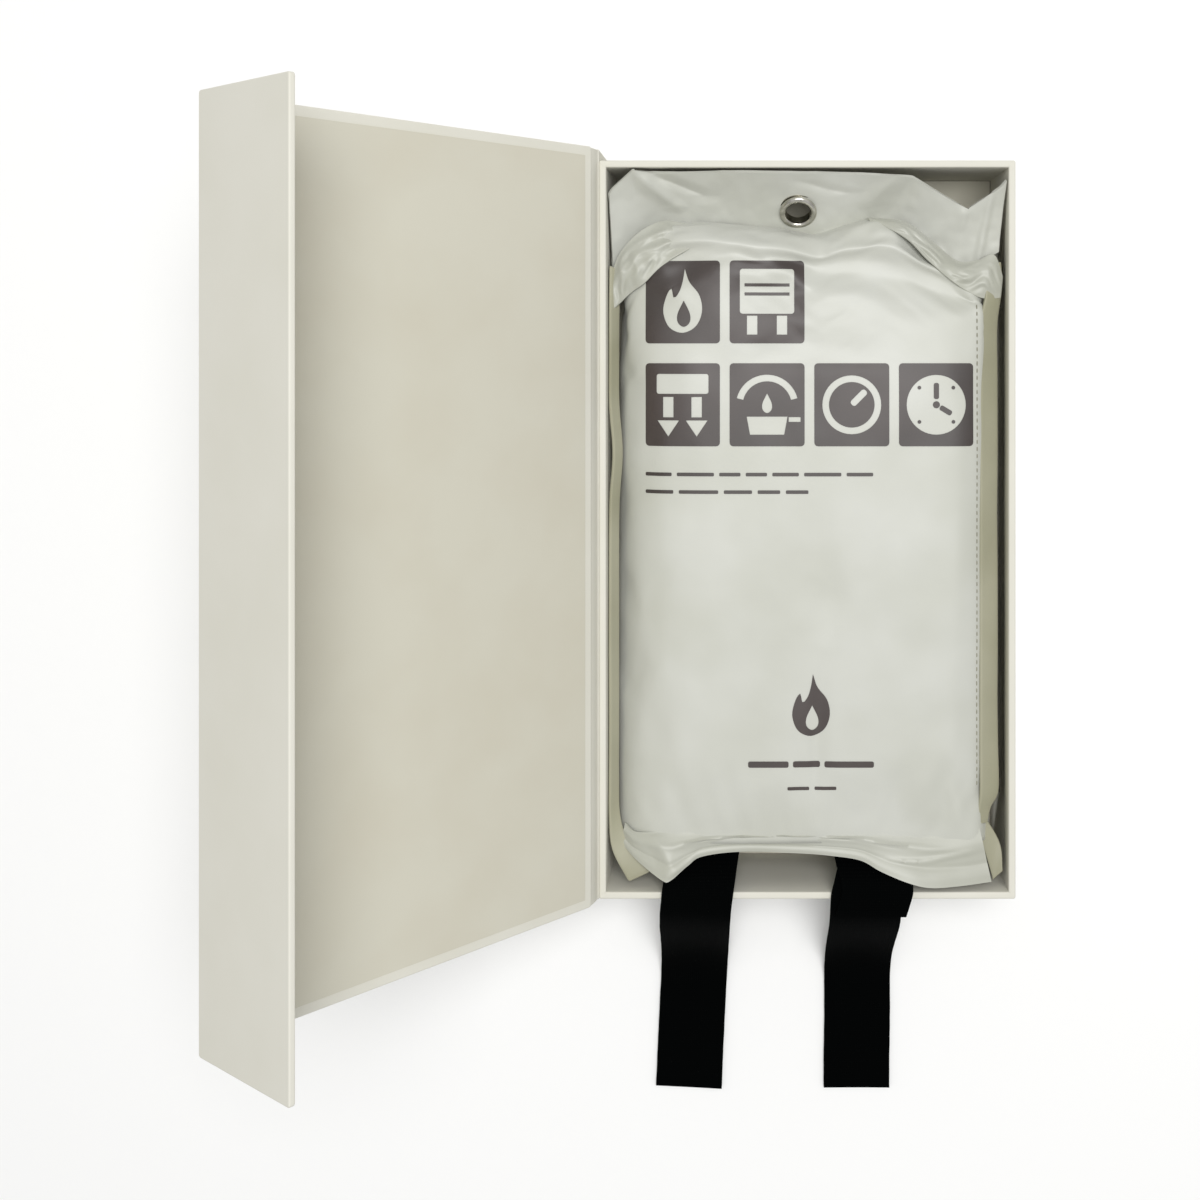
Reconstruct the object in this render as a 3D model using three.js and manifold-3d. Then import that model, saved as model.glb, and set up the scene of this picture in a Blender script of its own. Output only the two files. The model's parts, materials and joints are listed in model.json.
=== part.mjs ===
// A fire blanket in a book-style case: a paper-wrapped cover with a hinged lid and a closing flap,
// a tray glued to its back, and in the tray a fabric pouch that holds the folded blanket.
// Millimetres, +Z up. The origin is on the floor, under the middle of the cover's back.
// +X runs from the spine to the closing flap's side, +Y from the pouch's mouth to its header.

import * as THREE from "three";
import Module from "manifold-3d";
import { mergeVertices } from "three/addons/utils/BufferGeometryUtils.js";

const wasm = await Module();
wasm.setup();

// Sheets
const PAPER = 0.2; // wrapping and lining paper
const GLUE = 0.2; // film of glue between a paper and its board
const CASE_BOARD = 1.5; // greyboard of the cover
const TRAY_BOARD = 2; // greyboard of the tray
const TURN_IN = 15; // cover paper folded onto a board's inner face
const LINER_INSET = 4; // a liner stays back from its panel's edges
const STAY_TAPE = 0.1; // gummed tape over the tray's corners
const STAY_LEG = 12; // how far the tape reaches along each wall
const STAY_BELOW_RIM = 2;
const FABRIC = 0.8; // one layer of the pouch's coated cloth
const WEBBING = 1; // one layer of the pull tabs
const CLEARANCE = 0.3; // between soft pieces, and round what is let in

// Cover
const CASE_OVERHANG = 5; // the cover is this much longer than the tray
const MOUTH_OVERHANG = 0.3; // how much of that shows at the mouth's end
const CREASE = 3; // from the lid's hinge axis to its first board
const FLAP_CREASE = 2; // from the flap's hinge axis to the boards on each side
const TONGUE_END = 0.35; // how near to a hinge axis the creased paper comes
const FLAP_CLEARANCE = 0.5; // between the shut flap and the tray's wall
const FLAP_ABOVE_FLOOR = 4.5; // below the shut flap's free edge
const LID_OPEN = 130.5; // degrees from shut, as it stands
const FLAP_BEND = 90; // degrees between the lid and its flap

// Tray
const TRAY_W = 176; // along X, over the wrap
const TRAY_L = 312; // along Y, over the wrap
const TRAY_H = 52; // from the cover's back to the rim
const DISC_D = 12; // steel disc and magnet
const DISC_T = 1.2;
const DISC_BELOW_RIM = 26;
const DISC_SPAN = 224; // between the two discs, along Y

// Pouch, in the tray's frame
const POUCH_BELOW_RIM = 2.3;
const POUCH_SIDE_ROOM = 0.6; // between the bound seams and the tray's walls
const POUCH_END_ROOM = 1.3; // between the bound header and the tray's wall
const POUCH_MOUTH_ROOM = 20; // between the mouth and the tray's wall
const HEADER_W = 23.8; // from the filled body to the header's edge
const SEAM_W = 4.5; // seam allowance, outside the filled body
const FACE_INSET = 6; // from the body's side to its flat front
const SEAM_BELOW_FACE = 6; // the side seams lie this far under the pouch's front
const BINDING_T = 0.6;
const BINDING_W = 4.2;
const HEM_W = 3.7;
const HEM_INSET = 1; // from the flat front's side to the hem's end

// Eyelet
const EYELET_X = -3.5;
const EYELET_ABOVE_BODY = 9.5; // from the body's end to its centre
const EYELET_BORE = 11;
const EYELET_OD = 16;
const EYELET_WALL = 0.6;
const EYELET_RIM = 0.7;

// Folded blanket
const BLANKET_SIDE_ROOM = 1.5; // inside the flat front's sides
const BLANKET_FROM_MOUTH = 9;
const BLANKET_FROM_HEADER = 3;
const BLANKET_ROOM = 0.5; // above and below it, inside the pouch
const BLANKET_ROUND = 8;

// Pull tabs
const TAB_W = 30;
const TAB_ABOVE_FLOOR = 0.3;
const TAB_OVER_RIM = 1; // the stiff webbing arches this far clear of the wall
const TAB_RIM_RUN = 2.5; // it runs level this far past each face of the wall
const TAB_RISE_BEND = 5; // how gently it turns up to the rim
const TAB_FALL_BEND = 14; // how gently it turns down outside the wall
const TAB_LANDING_BEND = 22; // how gently it meets the floor
const TAB_REACH = 105; // from the tray's outer face to the tabs' free ends
const TAB_TOUCHDOWN = 58; // from the tray's outer face to where they reach the floor
const TAB_BELOW_SEAM = 1.5; // the tabs' middle layer leaves the mouth this far under the seam
const TAB_PAST_HEM = 1; // from the hem's edge to the line where a tab swings
const TAB_PIVOT_GAP = 0.8; // between a tab's root and its free run, so that it can swing
const DOUBLER_START = 2; // from the tab's pivot
const DOUBLER_OVERHANG = 5.6; // past the tray's outer face
const TABS = [
  { side: "left", x: -46, yaw: -3 },
  { side: "right", x: 24.5, yaw: 0 },
];

// Heights and faces that follow from them
const CASE_T = CASE_BOARD + 2 * (PAPER + GLUE);
const CASE_L = TRAY_L + CASE_OVERHANG;
const TRAY_SHIFT = MOUTH_OVERHANG - CASE_OVERHANG / 2;
const RIM_Z = CASE_T + TRAY_H;
const LID_GAP = TAB_OVER_RIM + 2 * WEBBING + 2 * CLEARANCE; // a doubled tab passes under the lid
const INNER_FACE = CASE_T / 2 + GLUE + PAPER; // from a panel's middle to its liner's face
const HINGE_X = -(TRAY_W + CASE_T) / 2;
const HINGE_Z = RIM_Z + LID_GAP + INNER_FACE;
const LID_SPAN = TRAY_W / 2 + FLAP_CLEARANCE + INNER_FACE - HINGE_X; // between the two hinge axes
const FLAP_SPAN = HINGE_Z - FLAP_ABOVE_FLOOR;
const DISC_Z = RIM_Z - DISC_BELOW_RIM;

const STAY_ROOM = STAY_TAPE + 0.3; // the tape lies in the middle of this gap
const BOARD_X = TRAY_W / 2 - PAPER - STAY_ROOM; // outer faces of the tray's boards
const BOARD_Y = TRAY_L / 2 - PAPER - STAY_ROOM;
const LINING = TRAY_BOARD + GLUE + PAPER; // from a board's outer face to the paper inside
const INSIDE_X = BOARD_X - LINING;
const INSIDE_Y = BOARD_Y - LINING;
const TRAY_Z = CASE_T + GLUE;
const WALL_Z = TRAY_Z + TRAY_BOARD + GLUE;
const LINER_TOP = WALL_Z + PAPER;

const POUCH_Z = LINER_TOP + CLEARANCE;
const POUCH_TOP = RIM_Z - POUCH_BELOW_RIM;
const SEAM_Z = POUCH_TOP - SEAM_BELOW_FACE; // underside of the back layer's seam allowance
const FRONT_Z = SEAM_Z + FABRIC + CLEARANCE; // underside of the front layer's
const SEAM_TOP = FRONT_Z + FABRIC;
const BINDING_Z0 = SEAM_Z - CLEARANCE - BINDING_T;
const BINDING_Z1 = SEAM_TOP + CLEARANCE + BINDING_T;
const BINDING_X = INSIDE_X - POUCH_SIDE_ROOM;
const BINDING_Y = INSIDE_Y - POUCH_END_ROOM;
const SEAM_X = BINDING_X - BINDING_T - CLEARANCE;
const HEADER_END = BINDING_Y - BINDING_T - CLEARANCE;
const BODY_END = HEADER_END - HEADER_W;
const POUCH_MOUTH = POUCH_MOUTH_ROOM - INSIDE_Y;
const WALL_X = SEAM_X - SEAM_W; // the filled body's sides
const FACE_X = WALL_X - FACE_INSET; // the flat front's sides
const EYELET_Y = BODY_END + EYELET_ABOVE_BODY;
const BLANKET_MOUTH_END = POUCH_MOUTH + BLANKET_FROM_MOUTH;
const HEM_END = POUCH_MOUTH - CLEARANCE - HEM_W;
const TAB_PIVOT_Y = HEM_END - TAB_PAST_HEM;
const TAB_PIVOT_Z = SEAM_Z - TAB_BELOW_SEAM;

const paint = (color, roughness, metalness = 0) =>
  new THREE.MeshStandardMaterial({ color, roughness, metalness });
const coverPaper = paint("#dedcd0", 0.8);
const linerPaper = paint("#d2cfbf", 0.85);
const greyboard = paint("#9b9488", 0.95);
const kraft = paint("#b58f5f", 0.9);
const steel = paint("#8b8b88", 0.35, 1);
const magnet = paint("#a9abad", 0.3, 1);
const pouchCloth = paint("#cfd0c6", 0.45);
const blanketCloth = paint("#e8e6df", 0.9);
const webbing = paint("#0b0b0c", 0.85);
const nickel = paint("#b9b8b2", 0.25, 1);

function box(x0, x1, y0, y1, z0, z1) {
  const geometry = new THREE.BoxGeometry(x1 - x0, y1 - y0, z1 - z0);
  return geometry.translate((x0 + x1) / 2, (y0 + y1) / 2, (z0 + z1) / 2);
}

// A box that is centred on X and Y
const block = (halfX, halfY, z0, z1) => box(-halfX, halfX, -halfY, halfY, z0, z1);

// A manifold solid from a closed geometry
function solid(geometry) {
  const bare = geometry.clone();
  bare.deleteAttribute("normal");
  bare.deleteAttribute("uv");
  const merged = mergeVertices(bare, 1e-4);
  const vertProperties = new Float32Array(merged.attributes.position.array);
  const triVerts = new Uint32Array(merged.index.array);
  return new wasm.Manifold(new wasm.Mesh({ numProp: 3, vertProperties, triVerts }));
}

function cut(geometry, ...tools) {
  let body = solid(geometry);
  for (const tool of tools) body = body.subtract(solid(tool));
  return fromSolid(body);
}

function join(geometry, ...more) {
  let body = solid(geometry);
  for (const other of more) body = body.add(solid(other));
  return fromSolid(body);
}

function fromSolid(body) {
  const mesh = body.getMesh();
  const geometry = new THREE.BufferGeometry();
  geometry.setAttribute("position", new THREE.BufferAttribute(mesh.vertProperties, 3));
  geometry.setIndex(new THREE.BufferAttribute(mesh.triVerts, 1));
  const flat = geometry.toNonIndexed();
  flat.computeVertexNormals();
  return flat;
}

// Extrudes an outline of [y, z] points along X, centred on X = 0
function extrudeAlongX(outline, length) {
  const shape = new THREE.Shape(outline.map(([y, z]) => new THREE.Vector2(y, z)));
  const geometry = new THREE.ExtrudeGeometry(shape, { depth: length, bevelEnabled: false });
  const toYZ = new THREE.Matrix4().makeBasis(
    new THREE.Vector3(0, 1, 0),
    new THREE.Vector3(0, 0, 1),
    new THREE.Vector3(1, 0, 0),
  );
  return geometry.translate(0, 0, -length / 2).applyMatrix4(toYZ);
}

// Extrudes an outline of [x, z] points along Y, from y0 to y1
function extrudeAlongY(outline, y0, y1) {
  const shape = new THREE.Shape(outline.map(([x, z]) => new THREE.Vector2(x, z)));
  const geometry = new THREE.ExtrudeGeometry(shape, { depth: y1 - y0, bevelEnabled: false });
  return geometry.rotateX(Math.PI / 2).translate(0, y1, 0);
}

const disc = (diameter, height) => new THREE.CylinderGeometry(diameter / 2, diameter / 2, height, 32);

function piece(parent, name, geometry, material) {
  const mesh = new THREE.Mesh(geometry, material);
  mesh.name = name;
  parent.add(mesh);
  return mesh;
}

function frame(parent, x, y, z) {
  const group = new THREE.Group();
  group.position.set(x, y, z);
  parent.add(group);
  return group;
}

// Cover panels. In a panel's own frame x runs away from its hinge, y along the hinge and +z out
// of the cover. Its board lies in the middle of CASE_T.

function panelBoard(start, end) {
  const skin = PAPER + GLUE;
  const halfY = CASE_L / 2 - skin;
  return box(start + skin, end - skin, -halfY, halfY, -CASE_BOARD / 2, CASE_BOARD / 2);
}

// Paper round the board, open where it isn't turned in, with a creased tongue towards each hinge
function panelCover(start, end, tongues) {
  const halfY = CASE_L / 2;
  const halfZ = CASE_T / 2;
  const sleeve = cut(
    box(start, end, -halfY, halfY, -halfZ, halfZ),
    box(start + PAPER, end - PAPER, -halfY + PAPER, halfY - PAPER, -halfZ + PAPER, halfZ - PAPER),
    box(start + TURN_IN, end - TURN_IN, -halfY + TURN_IN, halfY - TURN_IN, -halfZ - 1, 0),
  );
  const strips = tongues.map(([from, to]) => box(from, to, -halfY, halfY, -PAPER / 2, PAPER / 2));
  return join(sleeve, ...strips);
}

function panelLiner(start, end) {
  const halfY = CASE_L / 2 - LINER_INSET;
  return box(start + LINER_INSET, end - LINER_INSET, -halfY, halfY, -INNER_FACE, -INNER_FACE + PAPER);
}

function addBack(root) {
  const back = frame(root, 0, 0, CASE_T / 2);
  back.rotation.x = Math.PI;
  const start = HINGE_X - CASE_T / 2;
  const end = TRAY_W / 2;
  piece(back, "back_board", panelBoard(start, end), greyboard);
  piece(back, "back_cover_paper", panelCover(start, end, []), coverPaper);
}

function addSpine(root) {
  const spine = frame(root, HINGE_X, 0, 0);
  spine.rotation.y = -Math.PI / 2;
  const start = CASE_T + GLUE;
  const tongue = [RIM_Z - PAPER / 2, HINGE_Z - TONGUE_END];
  piece(spine, "spine_board", panelBoard(start, RIM_Z), greyboard);
  piece(spine, "spine_cover_paper", panelCover(start, RIM_Z, [tongue]), coverPaper);
}

function addLid(root) {
  const lid = frame(root, HINGE_X, 0, HINGE_Z);
  lid.rotation.y = THREE.MathUtils.degToRad(-LID_OPEN);
  const end = LID_SPAN - FLAP_CREASE;
  const tongues = [
    [TONGUE_END, CREASE + PAPER / 2],
    [end - PAPER / 2, LID_SPAN - TONGUE_END],
  ];
  piece(lid, "lid_board", panelBoard(CREASE, end), greyboard);
  piece(lid, "lid_cover_paper", panelCover(CREASE, end, tongues), coverPaper);
  piece(lid, "lid_liner_paper", panelLiner(CREASE, end), linerPaper);
  addFlap(lid);
}

function addFlap(lid) {
  const flap = frame(lid, LID_SPAN, 0, 0);
  flap.rotation.y = THREE.MathUtils.degToRad(FLAP_BEND);
  const magnetX = HINGE_Z - DISC_Z; // opposite the tray's discs when the flap is shut
  const magnetYs = [DISC_SPAN / 2 + TRAY_SHIFT, -DISC_SPAN / 2 + TRAY_SHIFT];
  const hole = (y) => disc(DISC_D + 2 * CLEARANCE, CASE_T).rotateX(Math.PI / 2).translate(magnetX, y, 0);
  piece(flap, "flap_board", cut(panelBoard(FLAP_CREASE, FLAP_SPAN), ...magnetYs.map(hole)), greyboard);
  const tongue = [TONGUE_END, FLAP_CREASE + PAPER / 2];
  piece(flap, "flap_cover_paper", panelCover(FLAP_CREASE, FLAP_SPAN, [tongue]), coverPaper);
  piece(flap, "flap_liner_paper", panelLiner(FLAP_CREASE, FLAP_SPAN), linerPaper);
  ["upper", "lower"].forEach((place, i) => {
    const shape = disc(DISC_D, DISC_T).rotateX(Math.PI / 2).translate(magnetX, magnetYs[i], 0);
    piece(flap, `flap_magnet_${place}`, shape, magnet);
  });
}

// Tray

// A pocket or disc in the right-hand wall, from x0 towards +X
const wallDisc = (diameter, x0, depth, y) =>
  disc(diameter, depth).rotateZ(Math.PI / 2).translate(x0 + depth / 2, y, DISC_Z);

function addTrayBoards(tray) {
  const boardTop = RIM_Z - PAPER - GLUE;
  const innerX = BOARD_X - TRAY_BOARD;
  const innerY = BOARD_Y - TRAY_BOARD;
  const discYs = [DISC_SPAN / 2, -DISC_SPAN / 2];
  piece(tray, "tray_floor_board", block(BOARD_X, BOARD_Y, TRAY_Z, TRAY_Z + TRAY_BOARD), greyboard);
  const left = box(-BOARD_X, -innerX, -BOARD_Y, BOARD_Y, WALL_Z, boardTop);
  const right = box(innerX, BOARD_X, -BOARD_Y, BOARD_Y, WALL_Z, boardTop);
  const pockets = discYs.map((y) => wallDisc(DISC_D + 2 * CLEARANCE, innerX - 1, 1 + DISC_T + GLUE, y));
  piece(tray, "tray_left_wall_board", left, greyboard);
  piece(tray, "tray_right_wall_board", cut(right, ...pockets), greyboard);
  const wallX = innerX - GLUE;
  piece(tray, "tray_header_wall_board", box(-wallX, wallX, innerY, BOARD_Y, WALL_Z, boardTop), greyboard);
  piece(tray, "tray_mouth_wall_board", box(-wallX, wallX, -BOARD_Y, -innerY, WALL_Z, boardTop), greyboard);
  ["upper", "lower"].forEach((place, i) => {
    piece(tray, `steel_disc_${place}`, wallDisc(DISC_D, innerX, DISC_T, discYs[i]), steel);
  });
}

// Paper down the outside of the walls, over the rim and down the inside, with a hole at each disc
function addTrayPapers(tray) {
  const innerX = BOARD_X - TRAY_BOARD - GLUE;
  const innerY = BOARD_Y - TRAY_BOARD - GLUE;
  const wallSpace = cut(
    block(TRAY_W / 2 - PAPER, TRAY_L / 2 - PAPER, TRAY_Z - 1, RIM_Z - PAPER),
    block(innerX, innerY, LINER_TOP + GLUE, RIM_Z),
  );
  const holes = [1, -1].map((s) => wallDisc(DISC_D + 2 * CLEARANCE, INSIDE_X - 1, 2, (s * DISC_SPAN) / 2));
  const wrap = cut(
    block(TRAY_W / 2, TRAY_L / 2, TRAY_Z, RIM_Z),
    block(INSIDE_X, INSIDE_Y, TRAY_Z - 1, RIM_Z + 1),
    wallSpace,
    ...holes,
  );
  piece(tray, "tray_wrap_paper", wrap, coverPaper);
  const liner = block(INSIDE_X - CLEARANCE, INSIDE_Y - CLEARANCE, WALL_Z, LINER_TOP);
  piece(tray, "tray_floor_liner_paper", liner, linerPaper);
}

// A box between two corners given in any order
function boxBetween([xa, ya], [xb, yb], z0, z1) {
  return box(Math.min(xa, xb), Math.max(xa, xb), Math.min(ya, yb), Math.max(ya, yb), z0, z1);
}

// Gummed tape folded round each upright corner of the boards, under the wrap
function addCornerStays(tray) {
  const gap = (STAY_ROOM - STAY_TAPE) / 2;
  const corners = { header_left: [-1, 1], header_right: [1, 1], mouth_left: [-1, -1], mouth_right: [1, -1] };
  for (const [place, [sx, sy]] of Object.entries(corners)) {
    const at = (distance) => [sx * (BOARD_X + distance), sy * (BOARD_Y + distance)];
    const outside = boxBetween(at(-STAY_LEG), at(gap + STAY_TAPE), WALL_Z, RIM_Z - STAY_BELOW_RIM);
    const boards = boxBetween(at(-2 * STAY_LEG), at(gap), 0, RIM_Z);
    piece(tray, `corner_stay_${place}`, cut(outside, boards), kraft);
  }
}

// Pouch

// The filled front: a shallow cap with sloping sides, open at the mouth
function frontPanel() {
  const section = (inset, z0) => [
    [-WALL_X + inset, z0],
    [WALL_X - inset, z0],
    [WALL_X - inset, SEAM_TOP - inset / 2],
    [FACE_X - inset, POUCH_TOP - inset],
    [-FACE_X + inset, POUCH_TOP - inset],
    [-WALL_X + inset, SEAM_TOP - inset / 2],
  ];
  return cut(
    join(
      extrudeAlongY(section(0, FRONT_Z), POUCH_MOUTH, BODY_END),
      box(-SEAM_X, SEAM_X, POUCH_MOUTH, BODY_END, FRONT_Z, SEAM_TOP),
    ),
    extrudeAlongY(section(FABRIC, FRONT_Z - 1), POUCH_MOUTH - 1, BODY_END - FABRIC),
  );
}

// The back: a deep tub, open at the mouth
function backPanel() {
  const inner = WALL_X - FABRIC;
  return cut(
    join(
      box(-WALL_X, WALL_X, POUCH_MOUTH, BODY_END, POUCH_Z, SEAM_Z + FABRIC),
      box(-SEAM_X, SEAM_X, POUCH_MOUTH, BODY_END, SEAM_Z, SEAM_Z + FABRIC),
    ),
    box(-inner, inner, POUCH_MOUTH - 1, BODY_END - FABRIC, POUCH_Z + FABRIC, POUCH_TOP),
  );
}

function headerPanel() {
  const hole = disc(EYELET_BORE + 2 * (EYELET_WALL + CLEARANCE), 20).rotateX(Math.PI / 2);
  const plate = box(-SEAM_X, SEAM_X, BODY_END + CLEARANCE, HEADER_END, SEAM_Z, SEAM_TOP);
  return cut(plate, hole.translate(EYELET_X, EYELET_Y, SEAM_Z));
}

// A strip folded round an edge at x = edge, as a section of [across, z] points
function bindingSection(edge, sign) {
  const across = (distance) => edge - sign * distance;
  const points = [
    [across(0), BINDING_Z0],
    [across(0), BINDING_Z1],
    [across(BINDING_W), BINDING_Z1],
    [across(BINDING_W), BINDING_Z1 - BINDING_T],
    [across(BINDING_T), BINDING_Z1 - BINDING_T],
    [across(BINDING_T), BINDING_Z0 + BINDING_T],
    [across(BINDING_W), BINDING_Z0 + BINDING_T],
    [across(BINDING_W), BINDING_Z0],
  ];
  return sign > 0 ? points : points.reverse();
}

// The front's doubled lower edge, which slopes down from its face towards the seam
function mouthHem() {
  const start = POUCH_MOUTH - CLEARANCE;
  const outline = [
    [start, POUCH_TOP - 2 * FABRIC],
    [HEM_END, FRONT_Z],
    [HEM_END, FRONT_Z + 2 * FABRIC],
    [start, POUCH_TOP],
  ];
  return extrudeAlongX(outline.reverse(), 2 * (FACE_X - HEM_INSET));
}

function addPouch(tray) {
  piece(tray, "pouch_front_panel", frontPanel(), pouchCloth);
  piece(tray, "pouch_back_panel", backPanel(), pouchCloth);
  piece(tray, "pouch_header", headerPanel(), pouchCloth);
  const headerBinding = extrudeAlongX(bindingSection(BINDING_Y, 1), 2 * SEAM_X);
  piece(tray, "header_binding", headerBinding, pouchCloth);
  const sideEnd = BINDING_Y - BINDING_W - CLEARANCE;
  const sideBinding = (sign) => extrudeAlongY(bindingSection(sign * BINDING_X, sign), POUCH_MOUTH, sideEnd);
  piece(tray, "side_binding_left", sideBinding(-1), pouchCloth);
  piece(tray, "side_binding_right", sideBinding(1), pouchCloth);
  piece(tray, "mouth_hem", mouthHem(), pouchCloth);
}

function addEyelet(tray) {
  const bore = EYELET_BORE / 2;
  const barrel = bore + EYELET_WALL;
  const top = SEAM_TOP + CLEARANCE;
  const bottom = SEAM_Z - CLEARANCE - EYELET_RIM;
  const turned = (outline) => new THREE.LatheGeometry(outline.map(([r, z]) => new THREE.Vector2(r, z)), 48);
  const profile = [
    [bore, bottom - EYELET_RIM],
    [barrel, bottom - EYELET_RIM],
    [barrel, top],
    [EYELET_OD / 2, top],
    [EYELET_OD / 2 - 0.8, top + EYELET_RIM],
    [bore + 0.6, top + EYELET_RIM],
    [bore, top],
    [bore, bottom - EYELET_RIM],
  ];
  const washer = [
    [barrel + CLEARANCE / 2, bottom],
    [EYELET_OD / 2, bottom],
    [EYELET_OD / 2, bottom + EYELET_RIM],
    [barrel + CLEARANCE / 2, bottom + EYELET_RIM],
    [barrel + CLEARANCE / 2, bottom],
  ];
  for (const [name, outline] of [["eyelet", profile], ["eyelet_washer", washer]]) {
    const ring = turned(outline).rotateX(Math.PI / 2);
    piece(tray, name, ring.translate(EYELET_X, EYELET_Y, 0), nickel);
  }
}

// The pack's rounded section, extruded along the pouch
function addBlanket(tray) {
  const z0 = POUCH_Z + FABRIC + BLANKET_ROOM;
  const z1 = POUCH_TOP - FABRIC - BLANKET_ROOM;
  const r = BLANKET_ROUND;
  const x = FACE_X - BLANKET_SIDE_ROOM - r;
  const corners = [[x, z0 + r, -90], [x, z1 - r, 0], [-x, z1 - r, 90], [-x, z0 + r, 180]];
  const outline = [];
  for (const [cx, cz, first] of corners) {
    for (let step = 0; step <= 6; step++) {
      const angle = THREE.MathUtils.degToRad(first + step * 15);
      outline.push([cx + r * Math.cos(angle), cz + r * Math.sin(angle)]);
    }
  }
  const pack = extrudeAlongY(outline, BLANKET_MOUTH_END, BODY_END - BLANKET_FROM_HEADER);
  piece(tray, "folded_blanket", pack, blanketCloth);
}

// Pull tabs. In a tab's own frame y = 0, z = 0 is where it leaves the pouch's mouth.

function tabPath() {
  const at = (y, z) => new THREE.Vector2(y - TAB_PIVOT_Y, z - TAB_PIVOT_Z);
  const rim = RIM_Z + TAB_OVER_RIM + WEBBING / 2;
  const floor = TAB_ABOVE_FLOOR + WEBBING / 2;
  const inner = -INSIDE_Y + TAB_RIM_RUN;
  const outer = -TRAY_L / 2 - TAB_RIM_RUN;
  const path = new THREE.CurvePath();
  const bend = (from, to, leaving, arriving) => {
    const start = new THREE.Vector2(from.x - leaving, from.y);
    const end = new THREE.Vector2(to.x + arriving, to.y);
    path.add(new THREE.CubicBezierCurve(from, start, end, to));
  };
  bend(at(TAB_PIVOT_Y, TAB_PIVOT_Z), at(inner, rim), TAB_RISE_BEND, TAB_RISE_BEND);
  path.add(new THREE.LineCurve(at(inner, rim), at(outer, rim)));
  const touchdown = at(-TRAY_L / 2 - TAB_TOUCHDOWN, floor);
  bend(at(outer, rim), touchdown, TAB_FALL_BEND, TAB_LANDING_BEND);
  path.add(new THREE.LineCurve(touchdown, at(-TRAY_L / 2 - TAB_REACH, floor)));
  return path.getPoints(14);
}

// A strip of the tab's width along points of its middle, lifted off them by an offset
function strip(points, offset) {
  const normals = points.map((point, i) => {
    const before = points[Math.max(i - 1, 0)];
    const after = points[Math.min(i + 1, points.length - 1)];
    const along = after.clone().sub(before).normalize();
    return new THREE.Vector2(along.y, -along.x);
  });
  const side = (distance) =>
    points.map((point, i) => point.clone().addScaledVector(normals[i], distance).toArray());
  const lower = side(offset - WEBBING / 2);
  const upper = side(offset + WEBBING / 2);
  return extrudeAlongX([...lower, ...upper.reverse()], TAB_W);
}

function addTab(tray, { side, x, yaw }) {
  const tab = frame(tray, x, TAB_PIVOT_Y, TAB_PIVOT_Z);
  tab.rotation.z = THREE.MathUtils.degToRad(yaw);
  const turnRoom = (TAB_W / 2) * Math.abs(Math.sin(tab.rotation.z));
  const rootEnd = BLANKET_MOUTH_END - TAB_PIVOT_Y - CLEARANCE - turnRoom;
  const rootStart = TAB_PIVOT_GAP;
  const half = WEBBING / 2;
  const root = [[rootStart, -half], [rootStart, half], [rootEnd, half], [rootEnd, -half]];
  const rootPiece = extrudeAlongX(root.reverse(), TAB_W);
  piece(tab, `${side}_tab_root`, rootPiece, webbing);
  piece(tab, `${side}_tab`, strip(tabPath(), 0), webbing);
  if (side === "right") {
    const reach = -TRAY_L / 2 - DOUBLER_OVERHANG - TAB_PIVOT_Y;
    const doubled = tabPath().filter((point) => point.x >= reach && point.x <= -DOUBLER_START);
    piece(tab, "right_tab_doubler", strip(doubled, WEBBING + CLEARANCE), webbing);
  }
}

const fireBlanket = new THREE.Group();
addBack(fireBlanket);
addSpine(fireBlanket);
addLid(fireBlanket);
const tray = frame(fireBlanket, 0, TRAY_SHIFT, 0);
addTrayBoards(tray);
addTrayPapers(tray);
addCornerStays(tray);
addPouch(tray);
addEyelet(tray);
addBlanket(tray);
for (const tab of TABS) addTab(tray, tab);

export default fireBlanket;
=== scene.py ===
# %% [markdown]
# # A fire blanket in its book-style case
#
# A stiff paper-wrapped case stands open, with a padded cloth pouch in its tray. The blanket is
# folded inside the pouch, and two black pull tabs hang out over the tray's rim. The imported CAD
# model is loaded first. It fixes where everything is and what moves with what, and this file
# dresses it: paper, board, cloth, webbing and metal.

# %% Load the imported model
import json
import math
import bmesh
import bpy
import numpy as np
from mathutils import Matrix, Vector, noise
from mathutils.bvhtree import BVHTree


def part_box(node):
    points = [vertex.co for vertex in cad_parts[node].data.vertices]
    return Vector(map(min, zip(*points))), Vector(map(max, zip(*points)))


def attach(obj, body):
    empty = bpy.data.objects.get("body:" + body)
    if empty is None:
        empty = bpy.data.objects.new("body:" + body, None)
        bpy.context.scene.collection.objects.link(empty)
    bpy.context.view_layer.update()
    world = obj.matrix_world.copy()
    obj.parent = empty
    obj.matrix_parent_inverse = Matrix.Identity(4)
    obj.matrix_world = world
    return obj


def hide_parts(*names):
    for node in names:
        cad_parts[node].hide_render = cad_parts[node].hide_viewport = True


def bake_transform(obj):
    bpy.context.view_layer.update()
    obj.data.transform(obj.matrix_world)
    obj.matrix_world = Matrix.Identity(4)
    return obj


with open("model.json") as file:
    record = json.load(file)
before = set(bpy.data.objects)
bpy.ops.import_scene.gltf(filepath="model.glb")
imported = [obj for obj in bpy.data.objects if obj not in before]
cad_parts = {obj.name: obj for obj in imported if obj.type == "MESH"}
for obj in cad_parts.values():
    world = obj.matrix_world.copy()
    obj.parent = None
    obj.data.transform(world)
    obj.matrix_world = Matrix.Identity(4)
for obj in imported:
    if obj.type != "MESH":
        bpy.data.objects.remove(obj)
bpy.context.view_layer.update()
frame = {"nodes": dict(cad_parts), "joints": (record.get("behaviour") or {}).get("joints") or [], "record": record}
MM = 0.001

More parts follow.
